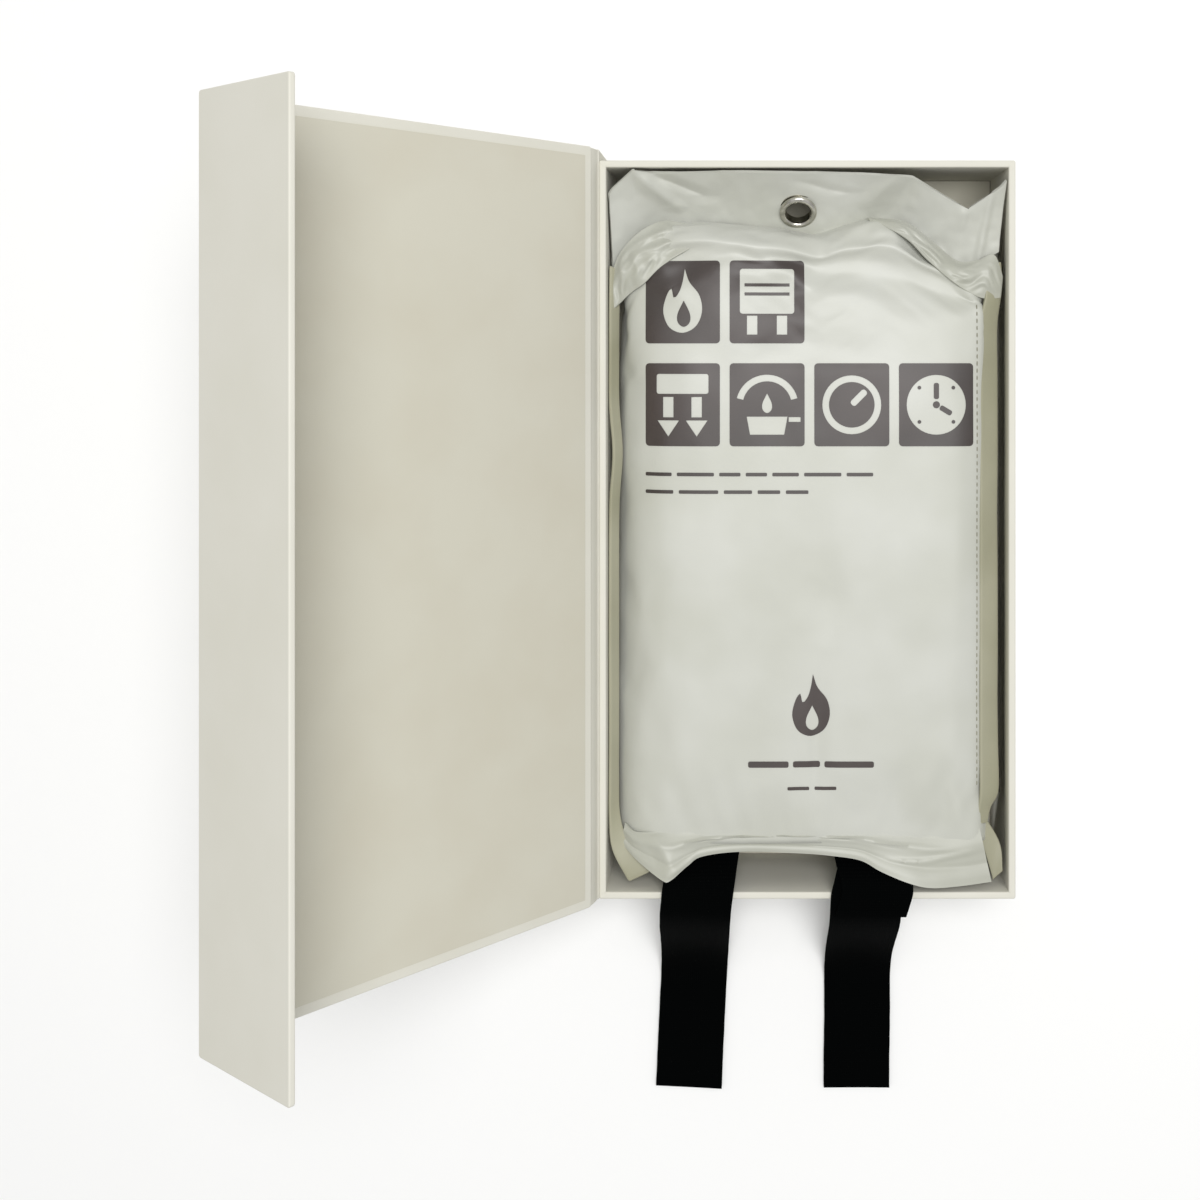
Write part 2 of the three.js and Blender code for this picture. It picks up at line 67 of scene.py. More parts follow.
# %% [markdown]
# ## Camera
#
# The object is looked at from straight above, by a lens that stands over the upper left of it.
# Tilting the camera would make the tray's upright walls lean, so it looks straight down and the
# picture is moved sideways with the lens shift instead, as with a shift lens on a copy stand.

# %% Camera
def new_object(name, data):
    made = bpy.data.objects.new(name, data)
    bpy.context.collection.objects.link(made)
    return made


camera = new_object("camera", bpy.data.cameras.new("camera"))
camera.location = (-0.023, 0.072, 0.696)
camera.data.sensor_width = 36
camera.data.lens = 45.6
camera.data.shift_x = -0.1274
camera.data.shift_y = -0.205
bpy.context.scene.camera = camera
print("camera height, mm:", round(camera.location.z / MM))

# %% [markdown]
# ## Small tools
#
# A few helpers that later cells use. Colours are written as they are picked on a screen, so one
# function turns them into the linear values that shaders add up. Another adds one shader node
# with its settings and links.

# %% Colours and shader nodes
def linear(hex_colour):
    def channel(start):
        value = int(hex_colour[start:start + 2], 16) / 255
        return value / 12.92 if value <= 0.04045 else ((value + 0.055) / 1.055) ** 2.4
    return (channel(1), channel(3), channel(5), 1.0)


def add_node(tree, kind, inputs=None, **settings):
    made = tree.nodes.new(kind)
    for name, value in settings.items():
        setattr(made, name, value)
    for socket, value in (inputs or {}).items():
        if isinstance(value, bpy.types.NodeSocket):
            tree.links.new(value, made.inputs[socket])
        else:
            made.inputs[socket].default_value = value
    return made


def new_material(name, roughness, **shader_inputs):
    material = bpy.data.materials.new(name)
    material.use_nodes = True
    tree = material.node_tree
    shader = tree.nodes["Principled BSDF"]
    shader.inputs["Roughness"].default_value = roughness
    for socket, value in shader_inputs.items():
        shader.inputs[socket.replace("_", " ")].default_value = value
    place = add_node(tree, "ShaderNodeTexCoord").outputs["Object"]
    return material, tree, shader, place


def noise_at(tree, place, size_mm, detail=3.0, stretch=(1, 1, 1)):
    # size_mm is about how far apart the blotches are
    scaled = add_node(tree, "ShaderNodeMapping", {"Vector": place, "Scale": stretch})
    texture = add_node(tree, "ShaderNodeTexNoise",
                       {"Vector": scaled.outputs[0], "Scale": 1 / (size_mm * MM), "Detail": detail})
    return texture.outputs["Fac"]


def ramp(tree, value, stops):
    made = add_node(tree, "ShaderNodeValToRGB", {"Fac": value})
    elements = made.color_ramp.elements
    while len(elements) < len(stops):
        elements.new(0.5)
    for element, (position, colour) in zip(elements, stops):
        element.position = position
        element.color = linear(colour)
    return made.outputs["Color"]


def relief(tree, shader, height, depth_mm, strength=1.0, under=None):
    inputs = {"Height": height, "Distance": depth_mm * MM, "Strength": strength}
    if under:
        inputs["Normal"] = under
    bump = add_node(tree, "ShaderNodeBump", inputs)
    tree.links.new(bump.outputs[0], shader.inputs["Normal"])
    return bump.outputs[0]


# %% [markdown]
# ## Materials
#
# Each finish starts from what the real thing is. Paper and board get fibres, woven goods get
# their threads, and the metal gets the soft dents of cheap pressings. The patterns read the
# object's own coordinates in millimetres, so they stay put when a part moves.
# The lining paper, the binding tape and the hem satin are darker copies with painted shade in them.

# %% Papers and boards
def paper(name, base, dark, roughness, fibre_mm=0.5):
    # wood-free wrapping paper, calendered: matt, with a fine tooth and faint clouding
    material, tree, shader, place = new_material(name, roughness, Specular_IOR_Level=0.35)
    cloud = noise_at(tree, place, 38, 3)
    tree.links.new(ramp(tree, cloud, [(0.3, dark), (0.62, base)]), shader.inputs["Base Color"])
    waves = relief(tree, shader, noise_at(tree, place, 55, 1), 0.5, 0.25)
    relief(tree, shader, noise_at(tree, place, fibre_mm, 4, (1, 0.35, 1)), 0.03, 0.35, waves)
    return material


def board(name, base, dark):
    # recycled greyboard, pressed from pulp: short fibres and dark flecks
    material, tree, shader, place = new_material(name, 0.92, Specular_IOR_Level=0.2)
    flecks = noise_at(tree, place, 0.9, 5, (1, 0.4, 1))
    tree.links.new(ramp(tree, flecks, [(0.32, dark), (0.55, base)]), shader.inputs["Base Color"])
    relief(tree, shader, noise_at(tree, place, 0.35, 4), 0.05, 0.5)
    return material


def bright_metal(name, colour, roughness):
    # pressed and plated metal: bright, with faint dents from the press
    material, tree, shader, place = new_material(name, roughness, Metallic=1.0)
    tint = ramp(tree, noise_at(tree, place, 4, 2), [(0.35, colour), (0.7, "#e4e1d8")])
    tree.links.new(tint, shader.inputs["Base Color"])
    relief(tree, shader, noise_at(tree, place, 1.6, 2), 0.05, 0.3)
    return material


cover_paper = paper("matt_cream_wrapping_paper", "#d7d5ca", "#d4d2c6", 0.72)
# the lining is the same cream paper as the cover, made darker: painted shade for the lid's inside
liner_paper = paper("cream_lining_paper_painted_shade", "#cac7b8", "#c7c3b3", 0.78)
greyboard = board("recycled_greyboard", "#a39c90", "#857d71")
kraft_tape = board("gummed_kraft_tape", "#b9935f", "#a07c4c")
stamped_steel = bright_metal("dull_stamped_steel", "#8f8f8c", 0.42)
magnet_nickel = bright_metal("nickel_plated_magnet", "#b4b5b6", 0.25)
eyelet_nickel = bright_metal("nickel_plated_brass", "#b7b5ac", 0.22)
print("papers, boards and metals are mixed")

# %% Cloth, webbing and thread
def wave_at(tree, place, pitch_mm, direction, **inputs):
    # a wave texture's own scale gives one line every 2 * pi / (20 * scale) units
    scale = 2 * math.pi / (20 * pitch_mm * MM)
    texture = add_node(tree, "ShaderNodeTexWave", {"Vector": place, "Scale": scale, **inputs},
                       bands_direction=direction)
    return texture.outputs["Fac"]


def plain_weave(tree, place, pitch_mm):
    # where one set of threads lies over the other
    warp = wave_at(tree, place, pitch_mm, "X")
    weft = wave_at(tree, place, pitch_mm, "Y")
    return add_node(tree, "ShaderNodeMath", {0: warp, 1: weft}, operation="MULTIPLY").outputs[0]


def coated_cloth(name, base, dark, roughness=0.46):
    # polyester satin with a thin polymer coat: smooth, softly shiny, with small handling creases
    material, tree, shader, place = new_material(
        name, roughness, Specular_IOR_Level=0.5, Sheen_Weight=0.12, Sheen_Roughness=0.5,
        Coat_Weight=0.12, Coat_Roughness=0.35)
    cloud = noise_at(tree, place, 46, 2)
    tree.links.new(ramp(tree, cloud, [(0.34, dark), (0.6, base)]), shader.inputs["Base Color"])
    soft = relief(tree, shader, noise_at(tree, place, 24, 2), 1.2, 0.22)
    creases = relief(tree, shader, noise_at(tree, place, 6.5, 2, (1, 0.7, 1)), 0.3, 0.16, soft)
    # the real threads are 0.2 mm apart, too fine to show, so they are drawn at 0.7 mm
    relief(tree, shader, plain_weave(tree, place, 0.7), 0.02, 0.12, creases)
    return material


def glass_cloth(name, base, dark):
    # woven glass-fibre cloth: a white basket weave, a little glossy along each thread
    material, tree, shader, place = new_material(name, 0.6, Sheen_Weight=0.1, Sheen_Roughness=0.4)
    weave = plain_weave(tree, place, 1.4)
    tree.links.new(ramp(tree, weave, [(0.05, dark), (0.5, base)]), shader.inputs["Base Color"])
    relief(tree, shader, weave, 0.12, 0.6)
    return material


def woven_webbing(name, base, light):
    # polyester webbing: fine ribs across its length, matt black
    material, tree, shader, place = new_material(name, 0.95, Specular_IOR_Level=0.03)
    ribs = wave_at(tree, place, 1.1, "Y", Distortion=0.3)
    yarns = wave_at(tree, place, 0.9, "X")
    weave = add_node(tree, "ShaderNodeMath", {0: ribs, 1: yarns}, operation="MULTIPLY").outputs[0]
    tree.links.new(ramp(tree, weave, [(0.1, base), (0.9, light)]), shader.inputs["Base Color"])
    relief(tree, shader, weave, 0.15, 0.5)
    return material


pouch_cloth = coated_cloth("coated_satin_cloth", "#c2c3bb", "#bbbcb2")
# the binding is the pouch's cloth, a little warmer, and darker still by painted shade of the steep strips
painted_shade_binding = coated_cloth("binding_tape_painted_shade", "#a6a48e", "#99977f", 0.56)
blanket_cloth = glass_cloth("woven_glass_fibre_cloth", "#efede6", "#d6d3c8")
webbing = woven_webbing("black_polyester_webbing", "#010202", "#040505")
# a darker copy of the pouch's satin: painted shade for the turned hem and the crumpled gathers
painted_shade_satin = coated_cloth("coated_satin_painted_shade", "#b5b6ac", "#adaea2")
print_ink = coated_cloth("dark_screen_print_ink", "#3f3633", "#37302d", 0.5)
thread = coated_cloth("grey_sewing_thread", "#8f8d7b", "#848270", 0.7)
print("cloths are mixed")

# %% [markdown]
# ## Mesh helpers
#
# Nearly everything here is a sheet: paper, board, cloth or webbing. So one helper makes a closed
# sheet of some thickness from a grid of points, and the pieces only say where their points lie.
# Another helper runs a smooth line through a few points, which is how edges are drawn.

# %% Sheets from grids of points
MERGE = 1e-6  # points closer than this, in metres, are one point
MOST_CORNERS = 8  # a face with more corners is a flat cap


def new_piece(name, points, faces, material, sharp_angle=40):
    mesh = bpy.data.meshes.new(name)
    mesh.from_pydata([tuple(point) for point in points], [], faces)
    work = bmesh.new()
    work.from_mesh(mesh)
    bmesh.ops.remove_doubles(work, verts=work.verts, dist=MERGE)
    bmesh.ops.recalc_face_normals(work, faces=work.faces)
    work.to_mesh(mesh)
    work.free()
    mesh.shade_smooth()
    mesh.set_sharp_from_angle(angle=math.radians(sharp_angle))
    for face in mesh.polygons:
        # caps are flat; this comes last, because the line above resets it
        face.use_smooth = len(face.vertices) <= MOST_CORNERS
    mesh.materials.append(material)
    return new_object(name, mesh)


def smooth_line(points, count):
    # a Catmull-Rom spline through the points, sampled evenly along its length
    knots = np.array(points, float)
    ends = np.vstack([2 * knots[0] - knots[1], knots, 2 * knots[-1] - knots[-2]])
    dense = []
    for a, b, c, d in zip(ends[:-3], ends[1:-2], ends[2:-1], ends[3:]):
        for t in np.linspace(0, 1, 24, endpoint=False):
            dense.append(0.5 * (2 * b + (c - a) * t + (2 * a - 5 * b + 4 * c - d) * t ** 2
                                + (3 * b - a - 3 * c + d) * t ** 3))
    dense = np.array(dense + [knots[-1]])
    along = np.concatenate([[0], np.cumsum(np.linalg.norm(np.diff(dense, axis=0), axis=1))])
    wanted = np.linspace(0, along[-1], count)
    return np.stack([np.interp(wanted, along, dense[:, axis]) for axis in range(3)], axis=1)


def grid_normals(grid):
    down = np.gradient(grid, axis=0)
    across = np.gradient(grid, axis=1)
    normals = np.cross(down, across)
    return normals / np.maximum(np.linalg.norm(normals, axis=2, keepdims=True), 1e-12)


def sheet_faces(rows, columns):
    # faces of a sheet's top and underside, and the border that joins them
    below = rows * columns

    def at(row, column):
        return row * columns + column

    faces = []
    for r in range(rows - 1):
        for c in range(columns - 1):
            corners = (at(r, c), at(r + 1, c), at(r + 1, c + 1), at(r, c + 1))
            faces.append(corners)
            faces.append(tuple(below + corner for corner in reversed(corners)))
    border = [at(0, c) for c in range(columns)] + [at(r, columns - 1) for r in range(1, rows)]
    border += [at(rows - 1, c) for c in range(columns - 2, -1, -1)]
    border += [at(r, 0) for r in range(rows - 2, 0, -1)]
    for here, after in zip(border, border[1:] + border[:1]):
        faces.append((here, after, below + after, below + here))
    return faces


def thick_sheet(name, grid, thickness, material, sharp_angle=50):
    # grid is rows x columns x 3 in metres, the middle of the sheet
    offset = grid_normals(grid) * thickness / 2
    points = np.concatenate([(grid + offset).reshape(-1, 3), (grid - offset).reshape(-1, 3)])
    return new_piece(name, points, sheet_faces(*grid.shape[:2]), material, sharp_angle)


def between_edges(first, second, rows, columns, swell=None):
    # rows run along the two edges, columns from one edge to the other, all in millimetres
    a = smooth_line(first, rows)
    b = smooth_line(second, rows)
    across = np.linspace(0, 1, columns)
    grid = a[:, None] * (1 - across)[None, :, None] + b[:, None] * across[None, :, None]
    if swell is not None:
        along = np.linspace(0, 1, rows)
        grid[..., 2] += swell(along[:, None], across[None, :])
    return grid * MM


# %% Riding on a body
def ride(piece, body, slot, *replaced):
    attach(piece, body)
    dress(piece, slot, *replaced)


def dress(piece, slot, *replaced):
    if replaced:
        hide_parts(*replaced)
    triangles = sum(len(face.vertices) - 2 for face in piece.data.polygons)
    print(f"{piece.name}: {triangles} triangles")


# %% [markdown]
# ## The case
#
# A book-style case is greyboard wrapped in paper: a back, a spine, a lid and a closing flap. The
# wrapped edges are tight but never knife-sharp, because paper can't fold to nothing, and that
# small radius is what catches the light. So each panel is a stack of rounded outlines, wide
# in the middle of its thickness and drawn in at its faces. The boards inside stay as packed.

# %% Panel frames
PAPER_EDGE = 0.55  # how round the paper makes a board's edge, mm
CORNER = 1.1  # how round a panel's corners are in plan, mm
HALF_BOARD = 1.15  # half a wrapped board's thickness, mm
axes = {joint["name"]: Vector(joint["pos_m"]) / MM for joint in frame["joints"] if "pos_m" in joint}
lid_axis, flap_axis = axes["lid_hinge"], axes["flap_crease"]
lid_along = (flap_axis - lid_axis).normalized()
lid_out = lid_along.cross(Vector((0, 1, 0)))
CREASE, FLAP_CREASE = 3.0, 2.0  # bare paper beside each fold line, mm
LID_END = (flap_axis - lid_axis).length - FLAP_CREASE


def box_mm(node):
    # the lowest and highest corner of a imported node
    return [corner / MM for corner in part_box(node)]


back_low, back_high = box_mm("back_cover_paper")
HALF_CASE = back_high.y


def on_lid(u, y, w):
    return lid_axis + lid_along * u + lid_out * w + Vector((0, y, 0))


def on_flap(u, y, w):
    return flap_axis - lid_out * u + lid_along * w + Vector((0, y, 0))


def on_spine(u, y, w):
    return Vector((lid_axis.x - w, y, u))


def on_back(u, y, w):
    return Vector((u, y, HALF_BOARD - w))


print("lid stands", round(math.degrees(math.atan2(lid_along.z, -lid_along.x)), 1), "degrees up")

# %% Wrapped panels
def rounded_outline(u0, u1, v0, v1, radius, steps=4):
    outline = []
    corners = [(u1, v1, 0), (u0, v1, 90), (u0, v0, 180), (u1, v0, 270)]
    for corner_u, corner_v, first in corners:
        middle_u = corner_u - math.copysign(radius, corner_u - (u0 + u1) / 2)
        middle_v = corner_v - math.copysign(radius, corner_v - (v0 + v1) / 2)
        for step in range(steps + 1):
            angle = math.radians(first + 90 * step / steps)
            outline.append((middle_u + radius * math.cos(angle), middle_v + radius * math.sin(angle)))
    return outline


def ring_faces(levels, around, joined=False):
    # quads from each ring of points to the next, and from the last to the first if joined
    faces = []
    for level in range(levels if joined else levels - 1):
        upper = (level + 1) % levels
        for i in range(around):
            after = (i + 1) % around
            faces.append((level * around + i, level * around + after,
                          upper * around + after, upper * around + i))
    return faces


def wrapped_panel(name, place, u0, u1):
    profile = []
    for step in range(5):
        angle = math.radians(90 * step / 4)
        inset = PAPER_EDGE * (1 - math.sin(angle))
        profile.append((inset, -HALF_BOARD + PAPER_EDGE * (1 - math.cos(angle))))
    profile += [(inset, -height) for inset, height in reversed(profile)]
    points = []
    for inset, height in profile:
        ring = rounded_outline(u0 + inset, u1 - inset, -HALF_CASE + inset, HALF_CASE - inset,
                               CORNER - inset * 0.5)
        points += [place(u, v, height) * MM for u, v in ring]
    around = len(points) // len(profile)
    caps = [tuple(range(around)), tuple(range(len(points) - around, len(points)))]
    return new_piece(name, points, caps + ring_faces(len(profile), around), cover_paper, 30)


tray_low, tray_high = box_mm("tray_wrap_paper")
RIM = tray_high.z
FLAP_END = lid_axis.z - 4.5  # the shut flap stops 4.5 mm above the floor
SPINE_FOOT = 2 * HALF_BOARD + 0.2
panels = [
    ("back_wrap", on_back, back_low.x, back_high.x, "case", "back_cover_paper"),
    ("spine_wrap", on_spine, SPINE_FOOT, RIM, "case", "spine_cover_paper"),
    ("lid_wrap", on_lid, CREASE, LID_END, "lid", "lid_cover_paper"),
    ("flap_wrap", on_flap, FLAP_CREASE, FLAP_END, "flap", "flap_cover_paper"),
]
for name, place, u0, u1, body, node in panels:
    ride(wrapped_panel(name, place, u0, u1), body, "cover_paper", node)
print("lid span, mm:", round(LID_END - CREASE, 1))

# %% [markdown]
# ## Creases
#
# Between two boards the cover is only paper, pressed down into a groove on both sides, and that
# is where it bends. Each crease is a strip that is as thick as the boards at its ends and thin in
# the middle. It bends smoothly from one body to the next in the pose it is built in.

# %% Crease strips
THIN = 0.3  # half the thickness of the paper in a groove, mm
SHY = 0.12  # how far a strip's thick ends stay inside the panels' faces, mm
TUCK = 0.4  # how far a strip reaches into the edge of each panel, mm
STRIP_ROWS, STRIP_COLUMNS = 80, 15


def crease_strip(name, start, start_way, end, end_way):
    reach = (end - start).length
    line = []
    for t in np.linspace(0, 1, STRIP_COLUMNS):
        a, b = 2 * t ** 3 - 3 * t ** 2 + 1, t ** 3 - 2 * t ** 2 + t
        c, d = 3 * t ** 2 - 2 * t ** 3, t ** 3 - t ** 2
        line.append(start * a + start_way * (b * reach) + end * c + end_way * (d * reach))
    points = []
    for side in (1, -1):
        for y in np.linspace(-HALF_CASE + 0.5, HALF_CASE - 0.5, STRIP_ROWS):
            for i, middle in enumerate(line):
                way = line[min(i + 1, STRIP_COLUMNS - 1)] - line[max(i - 1, 0)]
                out = way.cross(Vector((0, -1, 0))).normalized()
                groove = math.sin(math.pi * i / (STRIP_COLUMNS - 1)) ** 0.35
                half = THIN + (HALF_BOARD - SHY - THIN) * (1 - groove)
                uneven = 0.05 * noise.noise(Vector((y / 9, i, side * 7)))
                points.append((middle + out * side * (half + uneven) + Vector((0, y, 0))) * MM)
    strip = new_piece(name, points, sheet_faces(STRIP_ROWS, STRIP_COLUMNS), cover_paper, 60)
    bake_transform(strip)
    dress(strip, "cover_paper")


spine_up = Vector((0, 0, 1))
crease_strip("lid_crease", on_spine(RIM - TUCK, 0, 0), spine_up,
             on_lid(CREASE + TUCK, 0, 0), lid_along)
crease_strip("flap_crease_strip", on_lid(LID_END - TUCK, 0, 0), lid_along,
             on_flap(FLAP_CREASE + TUCK, 0, 0), -lid_out)

# %% [markdown]
# ## The tray's wrap
#
# One sheet of paper runs up the outside of the tray's walls, over the rim and down the inside. It
# could be four strips, but a real tray shows no seam along the rim, so it is one cross-section
# taken round the rectangle. Two round windows in the right-hand wall show the steel discs that
# the flap's magnets hold on to.

# %% Tray wrap
WALL = 3.0  # a wrapped wall's thickness, mm
RIM_ROUND = 0.75
WRAP_T = 0.2
middle_y = (tray_low.y + tray_high.y) / 2
floor_liner_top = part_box("tray_floor_liner_paper")[1].z / MM


def wrap_profile():
    def corner(middle, first, radius):
        for step in range(5):
            angle = math.radians(first - 90 * step / 4)
            yield (middle[0] + radius * math.cos(angle), middle[1] + radius * math.sin(angle))

    outer_middle, inner_middle = (RIM_ROUND, RIM - RIM_ROUND), (WALL - RIM_ROUND, RIM - RIM_ROUND)
    radius = RIM_ROUND - WRAP_T
    outside = [(0, tray_low.z), *corner(outer_middle, 180, RIM_ROUND)]
    outside += [*corner(inner_middle, 90, RIM_ROUND), (WALL, floor_liner_top)]
    inside = [(WALL - WRAP_T, floor_liner_top), *reversed(list(corner(inner_middle, 90, radius)))]
    inside += [*reversed(list(corner(outer_middle, 180, radius))), (WRAP_T, tray_low.z)]
    return outside + inside


profile = [(abs(inward), z) for inward, z in wrap_profile()]
points = []
for inward, z in profile:
    # the corners get tighter towards the inside of the wall
    radius = max(0.15, 0.9 - 0.27 * inward)
    ring = rounded_outline(tray_low.x + inward, tray_high.x - inward, tray_low.y + inward,
                           tray_high.y - inward, radius)
    points += [Vector((x, y, z)) * MM for x, y in ring]
wrap_faces = ring_faces(len(profile), len(points) // len(profile), joined=True)
tray_wrap = new_piece("tray_wrap", points, wrap_faces, cover_paper, 35)
print("tray rim, mm above the table:", round(RIM, 1))

# %% Windows for the discs
WINDOW = 6.3  # radius, mm
AROUND = 40


def settle(piece):
    # what the modifiers make becomes the mesh itself
    depsgraph = bpy.context.evaluated_depsgraph_get()
    finished = bpy.data.meshes.new_from_object(piece.evaluated_get(depsgraph))
    piece.modifiers.clear()
    piece.data = finished


def finish_with(piece, *modifiers):
    # each entry is a modifier's kind and its settings
    for kind, settings in modifiers:
        modifier = piece.modifiers.new(kind.lower(), kind)
        for setting, value in settings.items():
            setattr(modifier, setting, value)
    settle(piece)


disc_low, disc_high = box_mm("steel_disc_upper")
disc_y, disc_z = (disc_low.y + disc_high.y) / 2, (disc_low.z + disc_high.z) / 2
wall_face = tray_high.x - WALL
for sign in (1, -1):
    ring = []
    for x in (wall_face - 0.6, wall_face + WRAP_T + 0.05):
        for step in range(AROUND):
            angle = 2 * math.pi * step / AROUND
            y = middle_y + sign * (disc_y - middle_y) + WINDOW * math.cos(angle)
            ring.append(Vector((x, y, disc_z + WINDOW * math.sin(angle))) * MM)
    caps = [tuple(range(AROUND)), tuple(range(AROUND, 2 * AROUND))]
    cutter = new_piece("window_cutter", ring, ring_faces(2, AROUND) + caps, cover_paper)
    finish_with(tray_wrap, ("BOOLEAN", {"operation": "DIFFERENCE", "object": cutter}))
    bpy.data.objects.remove(cutter)
ride(tray_wrap, "case", "cover_paper", "tray_wrap_paper")

# %% [markdown]
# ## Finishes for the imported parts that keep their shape
#
# Boards, corner tapes, discs, magnets and the flat liners already have the right shape, so they
# only get their material.

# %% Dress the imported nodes
slot_of = {part["node"]: part["material_slot"] for part in frame["record"]["subparts"]}
finishes = {
    "liner_paper": liner_paper, "greyboard": greyboard, "kraft_tape": kraft_tape,
    "steel_disc": stamped_steel, "magnet": magnet_nickel, "eyelet_nickel": eyelet_nickel,
    "cover_paper": cover_paper, "pouch_cloth": pouch_cloth, "blanket_cloth": blanket_cloth,
    "webbing": webbing,
}
for node, cad in frame["nodes"].items():
    for material_slot in cad.material_slots:
        material_slot.material = finishes[slot_of[node]]
print("dressed", len(frame["nodes"]), "packed nodes")

# %% [markdown]
# ## Mitres on the rim
#
# The wrapping paper is cut and folded at each of the tray's corners, so a fine overlap crosses
# the rim at 45 degrees. Each overlap is a thin strip of the same paper lying on the rim.

# %% Rim mitres
mitres = [(x, y) for x in (tray_low.x, tray_high.x) for y in (tray_low.y, tray_high.y)]
for count, (x, y) in enumerate(mitres):
    inward = Vector((-math.copysign(1, x), -math.copysign(1, y - middle_y), 0))
    sideways = Vector((-inward.y, inward.x, 0)) * 0.35
    along_mitre = np.linspace(0.9, WALL - 0.4, 6)
    strip = [[Vector((x, y, RIM + 0.06)) + inward * step + sideways * side for side in (-1, 1)]
             for step in along_mitre]
    fold = thick_sheet(f"rim_mitre_{count + 1}", np.array(strip) * MM, 0.12 * MM, cover_paper)
    ride(fold, "case", "cover_paper")

# %% [markdown]
# ## The pouch's filled body
#
# The pouch is sewn from two panels of coated satin and stuffed with the folded blanket. Its front
# is nearly flat, its left shoulder is soft and its right edge is sharp, because the stitched seam
# pulls there. A rounded section is drawn once and carried along the pouch, and its header end
# closes like the end of a pillow. Then a short cloth simulation lets pressure swell it.

# %% Body loft
SEAM_Z = 36.0  # height of the seam that closes the header end
END_ROUND = 13.0
BACK_END = 124.5  # where the pouch's back meets the header
RING_POINTS = 116
body_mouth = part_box("pouch_front_panel")[0].y / MM
body_section = [
    (0, 52.4), (30, 52.5), (58, 52.2), (70.5, 51.6), (73.2, 50.8), (75.2, 48.4), (77.4, 43.5),
    (78.6, 34), (78.8, 20), (77.6, 10), (72, 6), (40, 5.4), (0, 5.4), (-40, 5.4), (-74, 6),
    (-80, 10), (-81.6, 20), (-81.8, 32), (-80.4, 39.5), (-76.2, 45.4), (-68.5, 49.4), (-58, 51.5),
    (-44, 52.5), (-24, 52.8),
]
# where the front meets the header, from side to side
front_end_x = [-80, -72, -63, -45, -11, 6, 19, 31, 39, 53, 64, 79]
front_end_y = [115, 122, 129, 129.5, 126.5, 123.5, 128.5, 131.5, 129, 119.5, 111.5, 104]
loop = np.array([(x, z, 0) for x, z in body_section + body_section[:1]], float)
section = smooth_line(loop, RING_POINTS + 1)[:-1, :2]
# from 0 on the pouch's back to 1 on its front
frontness = np.clip((section[:, 1] - 22) / 24, 0, 1)
front_end = np.interp(section[:, 0], front_end_x, front_end_y)
end = BACK_END + (front_end - BACK_END) * frontness - END_ROUND
rings = []
for t in np.concatenate([np.linspace(0, 0.78, 44, endpoint=False), np.linspace(0.78, 1, 26)]):
    y = body_mouth + (end - body_mouth) * t
    rings.append(np.stack([section[:, 0], y, section[:, 1]], axis=1))
last_ring = rings[-1]
for share in np.linspace(0, 1, 12)[1:]:
    angle = math.radians(84) * share
    ring = last_ring.copy()
    ring[:, 1] += END_ROUND * math.sin(angle)
    ring[:, 2] = SEAM_Z + (ring[:, 2] - SEAM_Z) * math.cos(angle)
    ring[:, 0] *= 1 - 0.03 * (1 - math.cos(angle))
    rings.append(ring)
body_grid = np.array(rings)
row_count = len(body_grid)
last_points = tuple(range((row_count - 1) * RING_POINTS, row_count * RING_POINTS))
body_faces = ring_faces(row_count, RING_POINTS) + [last_points]
print("body grid:", row_count, "rows of", RING_POINTS)

# %% Swell the body by simulation
CAP = 3.2  # the furthest the cloth may move, mm
FRAMES = 20
HELD_ROWS = 4  # rows at the header end that don't move


def swell(grid):
    # the mouth is closed by a fan while the pressure works, and opened again afterwards
    points = [Vector(point) * MM for point in grid.reshape(-1, 3)]
    mouth_middle = len(points)
    points.append(Vector((0, body_mouth, 29)) * MM)
    fan = [(c, mouth_middle, (c + 1) % RING_POINTS) for c in range(RING_POINTS)]
    mesh = bpy.data.meshes.new("swelling_pouch")
    mesh.from_pydata(points, [], body_faces + fan)
    pouch = new_object("swelling_pouch", mesh)
    held = pouch.vertex_groups.new(name="held")
    held.add(list(range(RING_POINTS)) + [mouth_middle], 1.0, "REPLACE")
    header_end = range((row_count - HELD_ROWS) * RING_POINTS, row_count * RING_POINTS)
    held.add(list(header_end), 1.0, "REPLACE")
    cloth = pouch.modifiers.new("cloth", "CLOTH")
    for setting, value in (
            ("vertex_group_mass", "held"), ("quality", 5), ("mass", 0.2), ("tension_stiffness", 20),
            ("compression_stiffness", 20), ("bending_stiffness", 0.08), ("use_pressure", True),
            ("uniform_pressure_force", 0.5), ("shrink_min", -0.012)):
        setattr(cloth.settings, setting, value)
    cloth.settings.effector_weights.gravity = 0
    cloth.point_cache.frame_end = FRAMES
    scene = bpy.context.scene
    for frame_number in range(1, FRAMES + 1):
        scene.frame_set(frame_number)
    swollen = pouch.evaluated_get(bpy.context.evaluated_depsgraph_get()).data
    moved = np.array([v.co for v in swollen.vertices])[:mouth_middle] / MM
    scene.frame_set(1)
    bpy.data.objects.remove(pouch)
    shift = moved.reshape(grid.shape) - grid
    length = np.linalg.norm(shift, axis=2, keepdims=True)
    print("cloth moved up to", round(float(length.max()), 2), "mm")
    return grid + shift * np.minimum(1, CAP / np.maximum(length, 1e-9))


body_grid = swell(body_grid)
print("body height, mm:", round(float(body_grid[..., 2].max()), 1))

# %% [markdown]
# The front of the real pouch has long soft dents from being folded round the pack, and sharp
# little folds where its two top corners are squeezed into the tray. The dents are slow noise. The
# folds are straight ridges: each is a line with a height that falls off on both sides of it.

